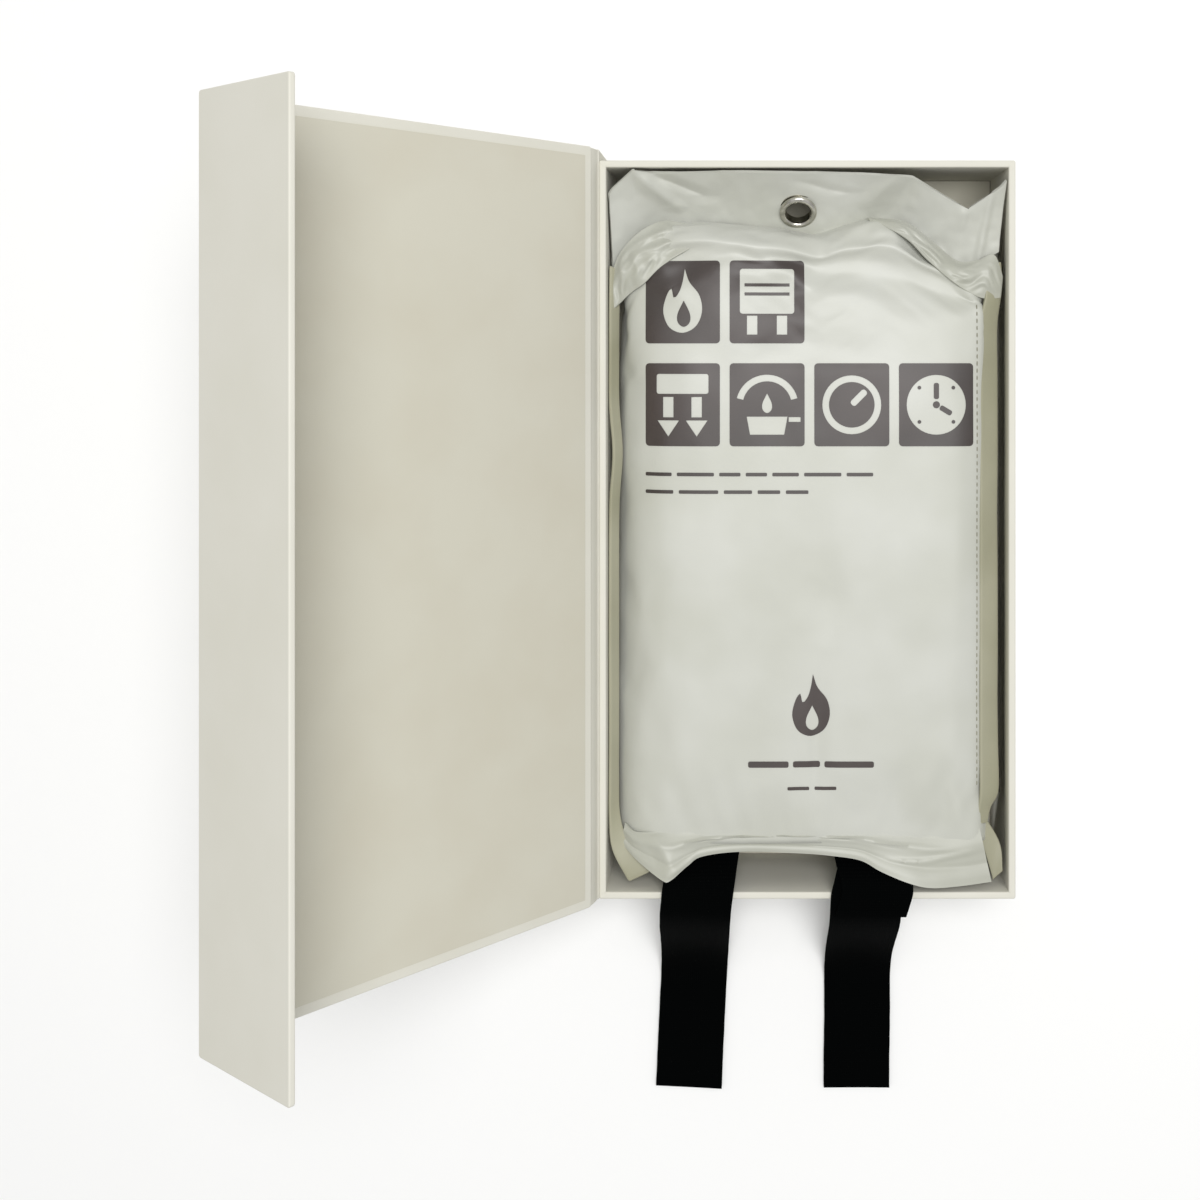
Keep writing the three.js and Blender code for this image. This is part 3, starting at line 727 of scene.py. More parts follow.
# %% Dents and folds in the body
def ridge(points, start, end, height, width):
    # a straight fold: highest on the line, gone at its ends and at its width
    a, b = np.array(start, float), np.array(end, float)
    way = (b - a) / np.linalg.norm(b - a)
    across = points[..., :2] - a
    along = np.clip(across @ way / np.linalg.norm(b - a), 0, 1)
    nearest = a + along[..., None] * (b - a)
    distance = np.linalg.norm(points[..., :2] - nearest, axis=-1)
    return height * np.clip(1 - distance / width, 0, 1) ** 1.5 * np.sin(math.pi * (0.12 + 0.76 * along))


folds = [
    ((-81, 110), (-63, 124), 1.8, 4.0), ((-80, 104), (-62, 113), 1.5, 3.6),
    ((-77, 99), (-66, 118), -1.6, 3.2), ((-70, 121), (-57, 103), 1.5, 4.5),
    ((-63, 122), (-52, 112), -1.2, 3.6), ((-81, 97), (-71, 104), -1.3, 3.2),
    ((-66, 104), (-52, 96), 0.9, 5.0), ((-30, 118), (22, 116), 0.9, 6.5),
    ((-54, 121), (-14, 116), 0.9, 5.5), ((20, 121), (46, 110), 1.0, 7.0),
    ((44, 119), (66, 103), -1.5, 4.0), ((50, 113), (72, 98), 1.3, 3.8),
    ((58, 112), (76, 92), -1.1, 3.4), ((68, 104), (77, 84), 1.0, 3.4),
    ((-60, -128), (-20, -131), -0.7, 5.0), ((-10, -130), (40, -128), 0.8, 5.0),
    ((30, -126), (70, -130), -0.6, 4.0), ((-76, -118), (-62, -131), 0.9, 5.0),
    ((60, -112), (72, -132), 0.7, 5.0),
]
# from 0 on the pouch's sides to 1 on its front
up = np.clip((body_grid[..., 2] - 40) / 9, 0, 1)
for start, end, height, width in folds:
    body_grid[..., 2] += up * ridge(body_grid, start, end, height, width)
for row in range(row_count):
    for column in range(RING_POINTS):
        x, y, z = body_grid[row, column]
        slow = noise.noise(Vector((x / 34, y / 46, 3.1)))
        slow += 0.5 * noise.noise(Vector((x / 15, y / 21, 8.7)))
        side = noise.noise(Vector((y / 17, z / 14, 1.7 + math.copysign(2, x))))
        body_grid[row, column, 2] += 0.75 * slow * up[row, column]
        body_grid[row, column, 0] += (1 - up[row, column]) * 0.7 * side * (abs(x) > 60)
# the pouch lies flat on the tray's floor liner, and its crown stays under the shut lid
FLOOR_GAP, CROWN = 0.4, 1.2
LEFT_LIMIT, RIGHT_LIMIT = -82.5, 82.0
body_grid[..., 2] = np.clip(body_grid[..., 2], floor_liner_top + FLOOR_GAP, RIM + CROWN)
body_grid[..., 0] = np.clip(body_grid[..., 0], LEFT_LIMIT, RIGHT_LIMIT)

shell_points = [Vector(point) * MM for point in body_grid.reshape(-1, 3)]
pouch_body = new_piece("pouch_body", shell_points, body_faces, pouch_cloth, 180)
SMOOTHER = ("SUBSURF", {"levels": 1, "render_levels": 1})
finish_with(pouch_body, SMOOTHER, ("SOLIDIFY", {"thickness": 0.8 * MM, "offset": -1}))


def surface_of(piece):
    return BVHTree.FromObject(piece, bpy.context.evaluated_depsgraph_get())


def looking_down(surface, x, y):
    # where a ray from 90 mm up, above everything in the tray, meets the surface
    hit = surface.ray_cast(Vector((x * MM, y * MM, 90 * MM)), Vector((0, 0, -1)))[0]
    return hit / MM if hit else None


body_surface = surface_of(pouch_body)


def body_top(x, y, fallback=51.0):
    # height of the pouch's front at a place
    hit = looking_down(body_surface, x, y)
    return hit.z if hit else fallback


ride(pouch_body, "pouch", "pouch_cloth", "pouch_front_panel", "pouch_back_panel")

# %% [markdown]
# ## Header
#
# The pouch is a little longer than its tray, so the flat header stands up against the end wall,
# slack and creased, and its right corner has slipped down. It is a double layer of cloth with its
# edge turned in. Two smooth lines, its far edge and its root, make the sheet between them.

# %% Header sheet
header_far = [
    (-84.2, 139.8, 50.5), (-82, 143, 51.2), (-74.6, 149.2, 53.0), (-73.2, 149.8, 53.2),
    (-71, 149.4, 53.0),
    (-55, 148.8, 52.6), (-34, 149.3, 53.0), (-12, 149.0, 53.2), (16, 148.6, 53.0), (34, 147.8, 52.6),
    (44, 147.2, 52.2), (46, 146.4, 52.0), (56, 140.8, 50.2), (67.4, 134.4, 48.6), (68.8, 134.2, 48.5),
    (70.4, 135.2, 48.8), (80.6, 142.0, 51.6), (84.2, 145.6, 52.4),
]
header_root = [
    (-83.6, 109, 39.0), (-78, 117, 38.5), (-66, 128, 37.0), (-46, 127.5, 35.0), (-24, 126, 34.4),
    (-4, 122.6, 34.0), (8, 121.5, 34.0), (20, 126, 35.0), (31, 129.8, 36.5), (40, 127, 37.0),
    (53.5, 118, 38.5), (64.3, 109, 40.5), (74, 111.5, 42.0), (82.6, 116, 43.0),
]


def crease(along, across, start, end, height, width):
    # a straight fold in the sheet's own plane, from 0 to 1 both ways, sharp at its top
    run, side = end[0] - start[0], end[1] - start[1]
    share = ((along - start[0]) * run + (across - start[1]) * side) / (run ** 2 + side ** 2)
    share = np.clip(share, 0, 1)
    away = np.hypot(along - start[0] - share * run, (across - start[1] - share * side) * 0.25)
    return height * np.clip(1 - away / width, 0, 1) ** 1.4 * np.sin(math.pi * (0.2 + 0.6 * share))


def creases(along, across, rows):
    return sum(crease(along, across, *row) for row in rows)


# each fold's start and end, its height in mm and its half width
rising_folds = [
    ((0.085, 0.0), (0.185, 0.62), 2.4, 0.04), ((0.70, 0.0), (0.655, 0.5), 1.6, 0.045),
    ((0.88, 0.1), (0.80, 0.9), 1.2, 0.035), ((0.955, 0.0), (0.945, 1.0), 1.3, 0.018),
]
sinking_folds = [
    ((0.13, 0.02), (0.25, 0.4), -2.0, 0.05), ((0.47, 0.1), (0.60, 0.32), -1.2, 0.05),
    ((0.73, 0.1), (0.70, 0.8), -1.2, 0.05),
]


def header_swell(along, across):
    # the folds that run in from the peaks of the far edge, and the slack between them
    waves = 0.8 * np.sin(9.5 * along + 3 * across) * across * (1 - across) * 2
    rise = creases(along, across, rising_folds)
    dip = creases(along, across, sinking_folds)
    return waves + rise + dip - 1.3 * np.sin(math.pi * across)


header_grid = between_edges(header_far, header_root, 190, 44, header_swell)
for row in header_grid:
    for point in row:
        x, y = point[0] / MM, point[1] / MM
        broad = 0.5 * MM * noise.noise(Vector((x / 9, y / 8, 5.5)))
        point[2] += broad + 0.3 * MM * noise.noise(Vector((x / 4, y / 4, 2.5)))
HEADER_T = 1.5  # two layers of cloth, mm
pouch_header = thick_sheet("pouch_header_sheet", header_grid, HEADER_T * MM, pouch_cloth)

# %% [markdown]
# ## Eyelet
#
# A plated brass eyelet is pressed through the header, so the pouch can hang on a hook. It leans
# with the cloth it is set in. Its rolled rim is turned on a lathe: one small outline is
# spun round the eyelet's own axis. The header gets a round hole first.

# %% Eyelet ring
EYELET_LEAN = math.radians(42)
STAND = 0.8  # height of the eyelet's own zero above the cloth's top face, mm
NEARER = 0.9  # the leaning eyelet is put this much nearer the mouth than the flat one, mm
eyelet_low, eyelet_high = box_mm("eyelet")
eyelet_x = (eyelet_low.x + eyelet_high.x) / 2
eyelet_y = (eyelet_low.y + eyelet_high.y) / 2 - NEARER
eyelet_axis = Vector((0, -math.sin(EYELET_LEAN), math.cos(EYELET_LEAN)))
eyelet_side = Vector((1, 0, 0))
eyelet_up = eyelet_axis.cross(eyelet_side)
seat = looking_down(surface_of(pouch_header), eyelet_x, eyelet_y) + eyelet_axis * STAND


def spun_ring(outline, steps=72):
    points = []
    for step in range(steps):
        angle = 2 * math.pi * step / steps
        outward = eyelet_side * math.cos(angle) + eyelet_up * math.sin(angle)
        points += [(seat + outward * radius + eyelet_axis * height) * MM for radius, height in outline]
    count = len(outline)
    faces = []
    for step in range(steps):
        for i in range(count):
            a, b = step * count, (step + 1) % steps * count
            j = (i + 1) % count
            faces.append((a + i, b + i, b + j, a + j))
    return points, faces


# outlines are (distance from the axis, height along it), in mm
rolled = [(5.5, -4.0), (5.5, 0.2)]
rolled += [(6.75 - 1.25 * math.cos(angle), 0.25 + 0.85 * math.sin(angle))
           for angle in np.linspace(0.3, math.pi - 0.3, 9)]
rolled += [(8.0, 0.1), (8.0, -0.35), (6.3, -0.35), (6.1, -4.0)]
eyelet_ring = new_piece("eyelet_ring", *spun_ring(rolled), eyelet_nickel, 40)
washer = [(6.2, -2.4), (6.2, -1.8), (8.0, -1.6), (8.1, -2.2), (7.0, -2.8)]
washer_ring = new_piece("eyelet_back_washer", *spun_ring(washer), eyelet_nickel, 40)
plug = [(0.01, -6), (0.01, 6), (5.9, 6), (5.9, -6)]
punch = new_piece("punch", *spun_ring(plug, 48), pouch_cloth)
hole = {"operation": "DIFFERENCE", "object": punch, "solver": "EXACT", "use_self": True}
finish_with(pouch_header, ("BOOLEAN", hole))
bpy.data.objects.remove(punch)


def open_edges(piece):
    # edges that don't have exactly two faces; a closed piece has none
    work = bmesh.new()
    work.from_mesh(piece.data)
    count = sum(len(edge.link_faces) != 2 for edge in work.edges)
    work.free()
    return count


print("open edges left in the header:", open_edges(pouch_header))
ride(pouch_header, "pouch", "pouch_cloth", "pouch_header", "header_binding")
ride(eyelet_ring, "pouch", "eyelet_nickel", "eyelet")
ride(washer_ring, "pouch", "eyelet_nickel", "eyelet_washer")

# %% [markdown]
# ## Seam strips, hem and corners
#
# Down each long side the two panels end in a stitched and bound strip, pressed between the pouch
# and the tray's wall. At the mouth the front panel ends in a turned hem that lies over the pull
# tabs, and the ends of the seam strips stick out beside it. They are all narrow sheets.


def strip_piece(name, inner, outer, rows, columns, thickness, material, wobble=0.25, replaced=()):
    def ripple(along, across):
        return wobble * np.sin(along * rows / 5.5 + 2 * across) * across
    grid = between_edges(inner, outer, rows, columns, ripple)
    piece = thick_sheet(name, grid, thickness * MM, material)
    finish_with(piece, SMOOTHER)
    ride(piece, "pouch", "pouch_cloth", *replaced)


right_inner = [(74.2, 106, 48.5), (76, 98, 49)]
right_outer = [(83.2, 112, 45), (83.6, 100, 44.5)]
for y in range(85, -116, -20):
    sway = 0.5 * noise.noise(Vector((y / 25, 4.2, 0)))
    right_inner.append((73.3, y, 50.4))
    right_outer.append((81.8 + sway, y, 44.2 + sway))
right_inner += [(72.6, -121, 50.0), (72.4, -128, 50.2)]
right_outer += [(78.8, -121, 45.5), (76.8, -128, 47.5)]
# the seam strips' darker olive cloth is painted shade of their steep slope
strip_piece("side_seam_right", right_inner, right_outer, 110, 9, 1.3, painted_shade_binding,
            replaced=("side_binding_right",))

left_inner = [(-80.0, 108, 43.0), (-80.6, 90, 42.0)]
left_outer = [(-84.2, 110, 46.4), (-84.3, 90, 46.8)]
for y in range(70, -111, -20):
    sway = 0.6 * noise.noise(Vector((y / 22, 1.2, 0)))
    tuck = 1.6 * math.exp(-((y - 28) / 14) ** 2)
    left_inner.append((-80.8 + tuck, y, 41.5 + sway))
    left_outer.append((-84.3 + tuck, y, 46.6 + sway))
left_inner += [(-79.8, -126, 45.0), (-75, -138, 47.0), (-66.5, -148.5, 49.0)]
left_outer += [(-84.2, -126, 48.2), (-83.0, -139, 48.6), (-75.8, -152.6, 49.4)]
strip_piece("side_seam_left", left_inner, left_outer, 110, 9, 1.3, painted_shade_binding,
            replaced=("side_binding_left",))

hem_edge = [
    (-79, -136.5, 46.5), (-72, -142.5, 51), (-61, -149.5, 56.4), (-57.5, -149.3, 56.6),
    (-51, -144.2, 54.6), (-44.5, -140.6, 52.6), (-26.3, -138.8, 51.2), (-3, -139.6, 51.0),
    (10, -140.4, 52.2), (22.6, -142, 53.8),
    (31, -146, 55.8), (42, -150.2, 57.0), (51.5, -152.6, 56.2), (65, -152.6, 54.0), (78, -151.6, 52.0),
]
hem_root = [
    (-77.5, -128.5, 45.5), (-73.5, -131, 48.8), (-68, -131, 50.6), (-62, -130.5, 51.2), (-54, -130, 51.6),
    (-45, -130, 51.6), (-26, -130, 51.6), (-3, -130, 51.6), (10, -130, 51.6), (22, -130, 51.6),
    (33, -130, 51.6), (45, -130, 51.4), (55, -130, 51.2), (66, -130, 51.0), (73, -128.5, 50.2),
]


def hem_swell(along, across):
    # a rounded break where the face ends, and the step of the turned-in hem near the edge
    fall = 0.9 * np.exp(-((across - 0.3) / 0.16) ** 2)
    step = -0.5 * np.exp(-((across - 0.66) / 0.05) ** 2)
    step += 0.3 * np.exp(-((across - 0.86) / 0.09) ** 2)
    lip = creases(along, across * 4, [((0.16, 1.2), (0.52, 0.75), 1.1, 0.09),
                                      ((0.50, 0.8), (0.86, 1.25), 1.0, 0.09)])
    tent = crease(along, across * 4, (0.10, 0.4), (0.18, 3.6), 1.4, 0.05)
    slack = crease(along, across * 4, (0.74, 2.6), (0.95, 1.6), 0.8, 0.06)
    return fall + step + lip + tent + slack + 0.4 * np.sin(17 * along) * across


hem_grid = between_edges(hem_root, hem_edge, 170, 26, hem_swell)
# the hem is made of the darker satin: painted shade where it turns down
mouth_hem = thick_sheet("mouth_hem_flap", hem_grid, 1.0 * MM, painted_shade_satin)
ride(mouth_hem, "pouch", "pouch_cloth", "mouth_hem")

corner_inner = [(70.5, -129.5, 46), (75, -138, 46.5), (79.5, -152.4, 47)]
corner_outer = [(75.0, -124, 45), (82.6, -137, 46), (83.6, -148.5, 47)]
strip_piece("mouth_corner_right", corner_inner, corner_outer, 34, 12, 1.2, painted_shade_binding, 0.5)

# %% [markdown]
# ## Gathers at the shoulders
#
# Where body, header and seam meet, the squeezed cloth is bunched into small sharp folds. Each
# bunch is one sheet between two lines, pushed up and down along the lines of the folds. A noise
# that is folded over at zero gives the sharp backs and rounded hollows of crumpled cloth.

# %% Crumpled sheets
BUNCH_ROWS, BUNCH_COLUMNS = 90, 44


def crumpled(name, inner, outer, height, seed, fold_mm, thickness=0.9):
    a, b = smooth_line(inner, BUNCH_ROWS), smooth_line(outer, BUNCH_ROWS)
    grid = np.zeros((BUNCH_ROWS, BUNCH_COLUMNS, 3))
    for r in range(BUNCH_ROWS):
        along = r / (BUNCH_ROWS - 1)
        run = 170 * along / fold_mm * 0.16
        width = float(np.linalg.norm(b[r] - a[r]))
        for c in range(BUNCH_COLUMNS):
            share = c / (BUNCH_COLUMNS - 1)
            point = a[r] * (1 - share) + b[r] * share
            slant = share * width / fold_mm
            fold = 0.55 - 1.6 * abs(noise.noise(Vector((run + 0.35 * slant, slant, seed))))
            small = 0.3 - 0.9 * abs(noise.noise(Vector((run * 2.4, slant * 1.7, seed + 5))))
            edge = min(1, 3.2 * share, 3.2 * (1 - share)) * min(1, 7 * along, 7 * (1 - along))
            swell = height * (fold + 0.45 * small) * edge + 1.2 * math.sin(math.pi * share) * edge
            lean = 0.35 * swell * noise.noise(Vector((run, share * 4, seed)))
            grid[r, c] = point + np.array((lean, 0, swell))
    # the gathers are made of the darker satin: painted shade in their folds
    piece = thick_sheet(name, grid * MM, thickness * MM, painted_shade_satin, 180)
    finish_with(piece, SMOOTHER)
    ride(piece, "pouch", "pouch_cloth")


crumpled(
    "shoulder_gathers_left",
    [(-52, 128, 42.5), (-62, 129, 43.5), (-72, 124, 44.5), (-80, 115, 44.8), (-83.8, 104, 44.6),
     (-83.8, 93, 44.4)],
    [(-47, 118, 51.6), (-56, 113, 51.2), (-63, 108, 51.0), (-69, 102, 50.6), (-75, 98, 47.8),
     (-82.9, 91, 44.8)],
    3.4, 3.3, 8.5)
crumpled(
    "shoulder_gathers_right",
    [(26, 130.4, 42.5), (42, 128.5, 43.5), (54, 120, 44), (64, 112, 45), (73, 112, 46),
     (80, 114.5, 46.5), (83.9, 105, 45.6)],
    [(27, 129.6, 44.5), (42, 121, 51.2), (52, 111, 51.6), (62, 102.5, 50.8), (70, 97.5, 49.8),
     (76, 95.5, 48.2), (83.0, 96, 45.8)],
    2.4, 7.1, 7.0)

# %% [markdown]
# ## The print
#
# The real pouch is screen-printed in one dark ink. Here the print is plain pictograms: a flame, a
# folded blanket, two tabs being pulled, a pan being covered, a heat knob and a clock. Ink is a
# skin on the cloth. So each picture is a flat filled outline, cut into small faces, laid on the
# swollen front by rays and given the thickness of a heavy coat of ink.

# %% Outlines for pictograms
def rectangle(x, y, wide, high, radius=0.0, turn=0.0):
    # x and y are its middle; corners are rounded by the radius
    points = []
    for corner, start in ((1, 1), 0), ((-1, 1), 90), ((-1, -1), 180), ((1, -1), 270):
        for step in range(5 if radius else 1):
            angle = math.radians(start + (22.5 * step if radius else 0))
            px = corner[0] * (wide / 2 - radius) + radius * math.cos(angle)
            py = corner[1] * (high / 2 - radius) + radius * math.sin(angle)
            points.append((x + px * math.cos(turn) - py * math.sin(turn),
                           y + px * math.sin(turn) + py * math.cos(turn)))
    return points


def disc_outline(x, y, radius, steps=32, start=0.0, sweep=2 * math.pi):
    angles = np.linspace(start, start + sweep, steps, endpoint=sweep < 6)
    return [(x + radius * math.cos(a), y + radius * math.sin(a)) for a in angles]


def flame(x, y, size):
    # a drop with a lick on its left side
    shape = [(0.06, 1), (0.2, 0.6), (0.5, 0.2), (0.58, -0.28), (0.4, -0.72), (0, -0.92), (-0.4, -0.75),
             (-0.58, -0.3), (-0.5, 0.14), (-0.34, 0.4), (-0.26, 0.12), (-0.1, 0.3), (0, 0.62), (0.06, 1)]
    line = smooth_line([(px, py, 0) for px, py in shape], 60)[:-1]
    return [(x + size * px, y + size * py) for px, py, _ in line]


def drop(x, y, size):
    line = smooth_line([(0, 1, 0), (0.42, 0.1, 0), (0.4, -0.5, 0), (0, -0.8, 0), (-0.4, -0.5, 0),
                        (-0.42, 0.1, 0), (0, 1, 0)], 36)[:-1]
    return [(x + size * px, y + size * py) for px, py, _ in line]


# %% Lay the ink on the front
INK = 0.12  # thickness, mm; the ink's top stands two of these above the cloth


def printed(name, outlines, step=1.5):
    curve = bpy.data.curves.new(name, "CURVE")
    curve.dimensions = "2D"
    curve.fill_mode = "BOTH"
    for outline in outlines:
        spline = curve.splines.new("POLY")
        spline.points.add(len(outline) - 1)
        for point, (x, y) in zip(spline.points, outline):
            point.co = (x, y, 0, 1)
        spline.use_cyclic_u = True
    holder = new_object(name, curve)
    depsgraph = bpy.context.evaluated_depsgraph_get()
    flat = bpy.data.meshes.new_from_object(holder.evaluated_get(depsgraph))
    bpy.data.objects.remove(holder)
    work = bmesh.new()
    work.from_mesh(flat)
    low = [min(v.co[axis] for v in work.verts) for axis in (0, 1)]
    high = [max(v.co[axis] for v in work.verts) for axis in (0, 1)]
    for axis in (0, 1):
        for cut in np.arange(low[axis] + step, high[axis], step):
            place, way = Vector((0, 0, 0)), Vector((0, 0, 0))
            place[axis], way[axis] = cut, 1
            everything = work.verts[:] + work.edges[:] + work.faces[:]
            bmesh.ops.bisect_plane(work, geom=everything, plane_co=place, plane_no=way)
    for vert in work.verts:
        vert.co = Vector((vert.co.x, vert.co.y, body_top(vert.co.x, vert.co.y) + 2 * INK)) * MM
    points = [vert.co.copy() for vert in work.verts]
    faces = [tuple(vert.index for vert in face.verts) for face in work.faces]
    work.free()
    piece = new_piece(name, points, faces, print_ink, 60)
    if piece.data.polygons[0].normal.z < 0:
        piece.data.flip_normals()
    finish_with(piece, ("SOLIDIFY", {"thickness": INK * MM, "offset": -1}))
    piece.data.set_sharp_from_angle(angle=math.radians(35))
    ride(piece, "pouch", "pouch_cloth")


tile_width, tile_high = 31.6, 35.0
row_one, row_two = 94.0, 50.6  # heights of the middles of the two rows
tile_x = [-52.7 + 35.7 * i for i in range(4)]


def tile(x, y):
    return rectangle(x, y, tile_width, tile_high, 1.6)


a, b, c, d = tile_x
printed("print_flame", [tile(a, row_one), flame(a, row_one, 14.2), drop(a + 0.5, row_one - 5.6, 6.2)])
printed("print_blanket", [
    tile(b, row_one), rectangle(b, row_one + 4.5, 23, 19, 1.2), rectangle(b, row_one + 7.2, 19, 1.3),
    rectangle(b, row_one + 3.4, 19, 1.3), rectangle(b - 6.3, row_one - 9.8, 4.4, 8),
    rectangle(b + 6.3, row_one - 9.8, 4.4, 8)])
printed("print_pull", [
    tile(a, row_two), rectangle(a, row_two + 8.8, 22, 8.4, 1.0), rectangle(a - 6, row_two - 1, 4.4, 8.6),
    rectangle(a + 6, row_two - 1, 4.4, 8.6),
    [(a - 10.6, row_two - 6.6), (a - 1.4, row_two - 6.6), (a - 6, row_two - 13.4)],
    [(a + 1.4, row_two - 6.6), (a + 10.6, row_two - 6.6), (a + 6, row_two - 13.4)]])
pan = [(b - 8.6, row_two - 5), (b + 8.6, row_two - 5), (b + 7.2, row_two - 12.6),
       (b - 7.2, row_two - 12.6)]
cover = disc_outline(b, row_two - 0.5, 13.2, 20, 0.25, 2.64)
cover += disc_outline(b, row_two - 0.5, 10.4, 20, 2.89, -2.64)
printed("print_cover", [tile(b, row_two), pan, rectangle(b + 11.6, row_two - 6.2, 5.0, 2.0),
                        drop(b, row_two + 0.2, 4.6), cover])
knob = [tile(c, row_two), disc_outline(c, row_two, 12.4, 48), disc_outline(c, row_two, 9.6, 48),
        rectangle(c + 3.0, row_two + 3.0, 8.4, 2.8, 1.2, math.radians(45))]
clock = [tile(d, row_two), disc_outline(d, row_two, 12.6, 48), disc_outline(d, row_two, 1.5, 20)]
clock.append(rectangle(d, row_two + 5.8, 2.2, 6.8, 0.8))
clock.append(rectangle(d + 4.0, row_two - 2.4, 5.6, 2.2, 0.8, math.radians(-31)))
for tick in range(4):
    turn = math.radians(90 * tick + 45)
    clock.append(disc_outline(d + 10.2 * math.cos(turn), row_two + 10.2 * math.sin(turn), 0.8, 12))
printed("print_heat_off", knob)
printed("print_wait", clock)


def bar_row(left, right, y, lengths, high):
    # plain bars that stand where small words would be
    share = (right - left) / sum(lengths)
    x, bars = left, []
    for count, length in enumerate(lengths):
        if count % 2 == 0:
            bars.append(rectangle(x + length * share / 2, y, length * share, high, high * 0.3))
        x += length * share
    return bars


small_words = [5, 1, 7, 1, 4, 1, 4, 1, 5, 1, 7, 1, 5]
printed("print_bars", bar_row(-68.5, 27.7, 21.2, small_words, 1.5)
        + bar_row(-68.5, 0.4, 13.8, small_words[::-1][:9], 1.5))
printed("print_mark", [flame(1.5, -76.5, 13.6), drop(2.0, -81.9, 5.8)]
        + bar_row(-25, 28, -101, [9, 1, 6, 1, 11], 2.6) + bar_row(-8.4, 12.2, -111.3, [4, 1, 4], 1.4))

# %% [markdown]
# ## Stitches
#
# A row of lock stitches is a few hundred short threads, all alike, so Geometry Nodes sets them
# out: points along a line, a small capsule on each, turned to follow it.

# %% Stitch tree
def stitch_tree():
    tree = bpy.data.node_groups.new("stitch_row", "GeometryNodeTree")
    new_socket = tree.interface.new_socket
    new_socket("Geometry", in_out="INPUT", socket_type="NodeSocketGeometry")
    for label, kind, value in (
            ("Pitch", "NodeSocketFloat", 3.0 * MM), ("Length", "NodeSocketFloat", 2.1 * MM),
            ("Thread", "NodeSocketFloat", 0.28 * MM), ("Seed", "NodeSocketInt", 4)):
        new_socket(label, in_out="INPUT", socket_type=kind).default_value = value
    new_socket("Material", in_out="INPUT", socket_type="NodeSocketMaterial")
    new_socket("Geometry", in_out="OUTPUT", socket_type="NodeSocketGeometry")
    given = tree.nodes.new("NodeGroupInput").outputs

    def times(first, second):
        inputs = {0: first, 1: second}
        return add_node(tree, "ShaderNodeMath", inputs, operation="MULTIPLY").outputs[0]

    curve = add_node(tree, "GeometryNodeMeshToCurve", {"Mesh": given["Geometry"]})
    spread = add_node(tree, "GeometryNodeCurveToPoints",
                      {"Curve": curve.outputs["Curve"], "Length": given["Pitch"]}, mode="LENGTH")
    capsule = add_node(tree, "GeometryNodeMeshUVSphere", {"Segments": 8, "Rings": 6, "Radius": 1.0})
    wobble = add_node(tree, "FunctionNodeRandomValue",
                      {"Min": 0.88, "Max": 1.0, "Seed": given["Seed"]}, data_type="FLOAT")
    uneven = next(output for output in wobble.outputs if output.enabled)
    size = add_node(tree, "ShaderNodeCombineXYZ", {
        "X": given["Thread"], "Y": given["Thread"], "Z": times(times(given["Length"], 0.5), uneven)})
    placed = add_node(tree, "GeometryNodeInstanceOnPoints", {
        "Points": spread.outputs["Points"], "Instance": capsule.outputs["Mesh"],
        "Rotation": spread.outputs["Rotation"], "Scale": size.outputs[0]})
    real = add_node(tree, "GeometryNodeRealizeInstances", {"Geometry": placed.outputs["Instances"]})
    painted = add_node(tree, "GeometryNodeSetMaterial", {
        "Geometry": real.outputs["Geometry"], "Material": given["Material"]})
    add_node(tree, "NodeGroupOutput", {"Geometry": painted.outputs["Geometry"]})
    return tree


def stitched(name, line, body, pitch=3.0, length=2.1):
    # the line is a list of points in millimetres
    mesh = bpy.data.meshes.new(name)
    edges = [(i, i + 1) for i in range(len(line) - 1)]
    mesh.from_pydata([Vector(point) * MM for point in line], edges, [])
    piece = new_object(name, mesh)
    nodes = piece.modifiers.new("stitches", "NODES")
    nodes.node_group = stitches
    socket = {item.name: item.identifier for item in stitches.interface.items_tree
              if item.in_out == "INPUT"}
    nodes[socket["Pitch"]] = pitch * MM
    nodes[socket["Length"]] = length * MM
    nodes[socket["Material"]] = thread
    settle(piece)
    piece.data.shade_smooth()
    ride(piece, body, "pouch_cloth")


stitches = stitch_tree()
right_row = [(72.0, y, body_top(72.0, y) + 0.12) for y in np.arange(92, -112, -2.0)]
stitched("seam_stitches", right_row, "pouch")

# %% [markdown]
# ## Pull tabs
#
# Two black webbing tabs are sewn to the blanket's corners. They come out from under the hem,
# bend up over the tray's rim and droop to the floor. Webbing is stiff and flat, so each is
# modelled directly as a strip along one smooth path. The strip bends where the tab swings.

# %% Tabs
TAB_W, TAB_T = 30.0, 1.0
run_low, run_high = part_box("right_tab")
tab_end_y = run_low.y / MM
over_rim = run_high.z / MM - TAB_T / 2
on_floor = run_low.z / MM + TAB_T / 2


def bezier(a, leaving, arriving, b, count):
    t = np.linspace(0, 1, count)[:, None]
    a, leaving, arriving, b = (np.array(point, float) for point in (a, leaving, arriving, b))
    return ((1 - t) ** 3 * a + 3 * (1 - t) ** 2 * t * leaving
            + 3 * (1 - t) * t ** 2 * arriving + t ** 3 * b)


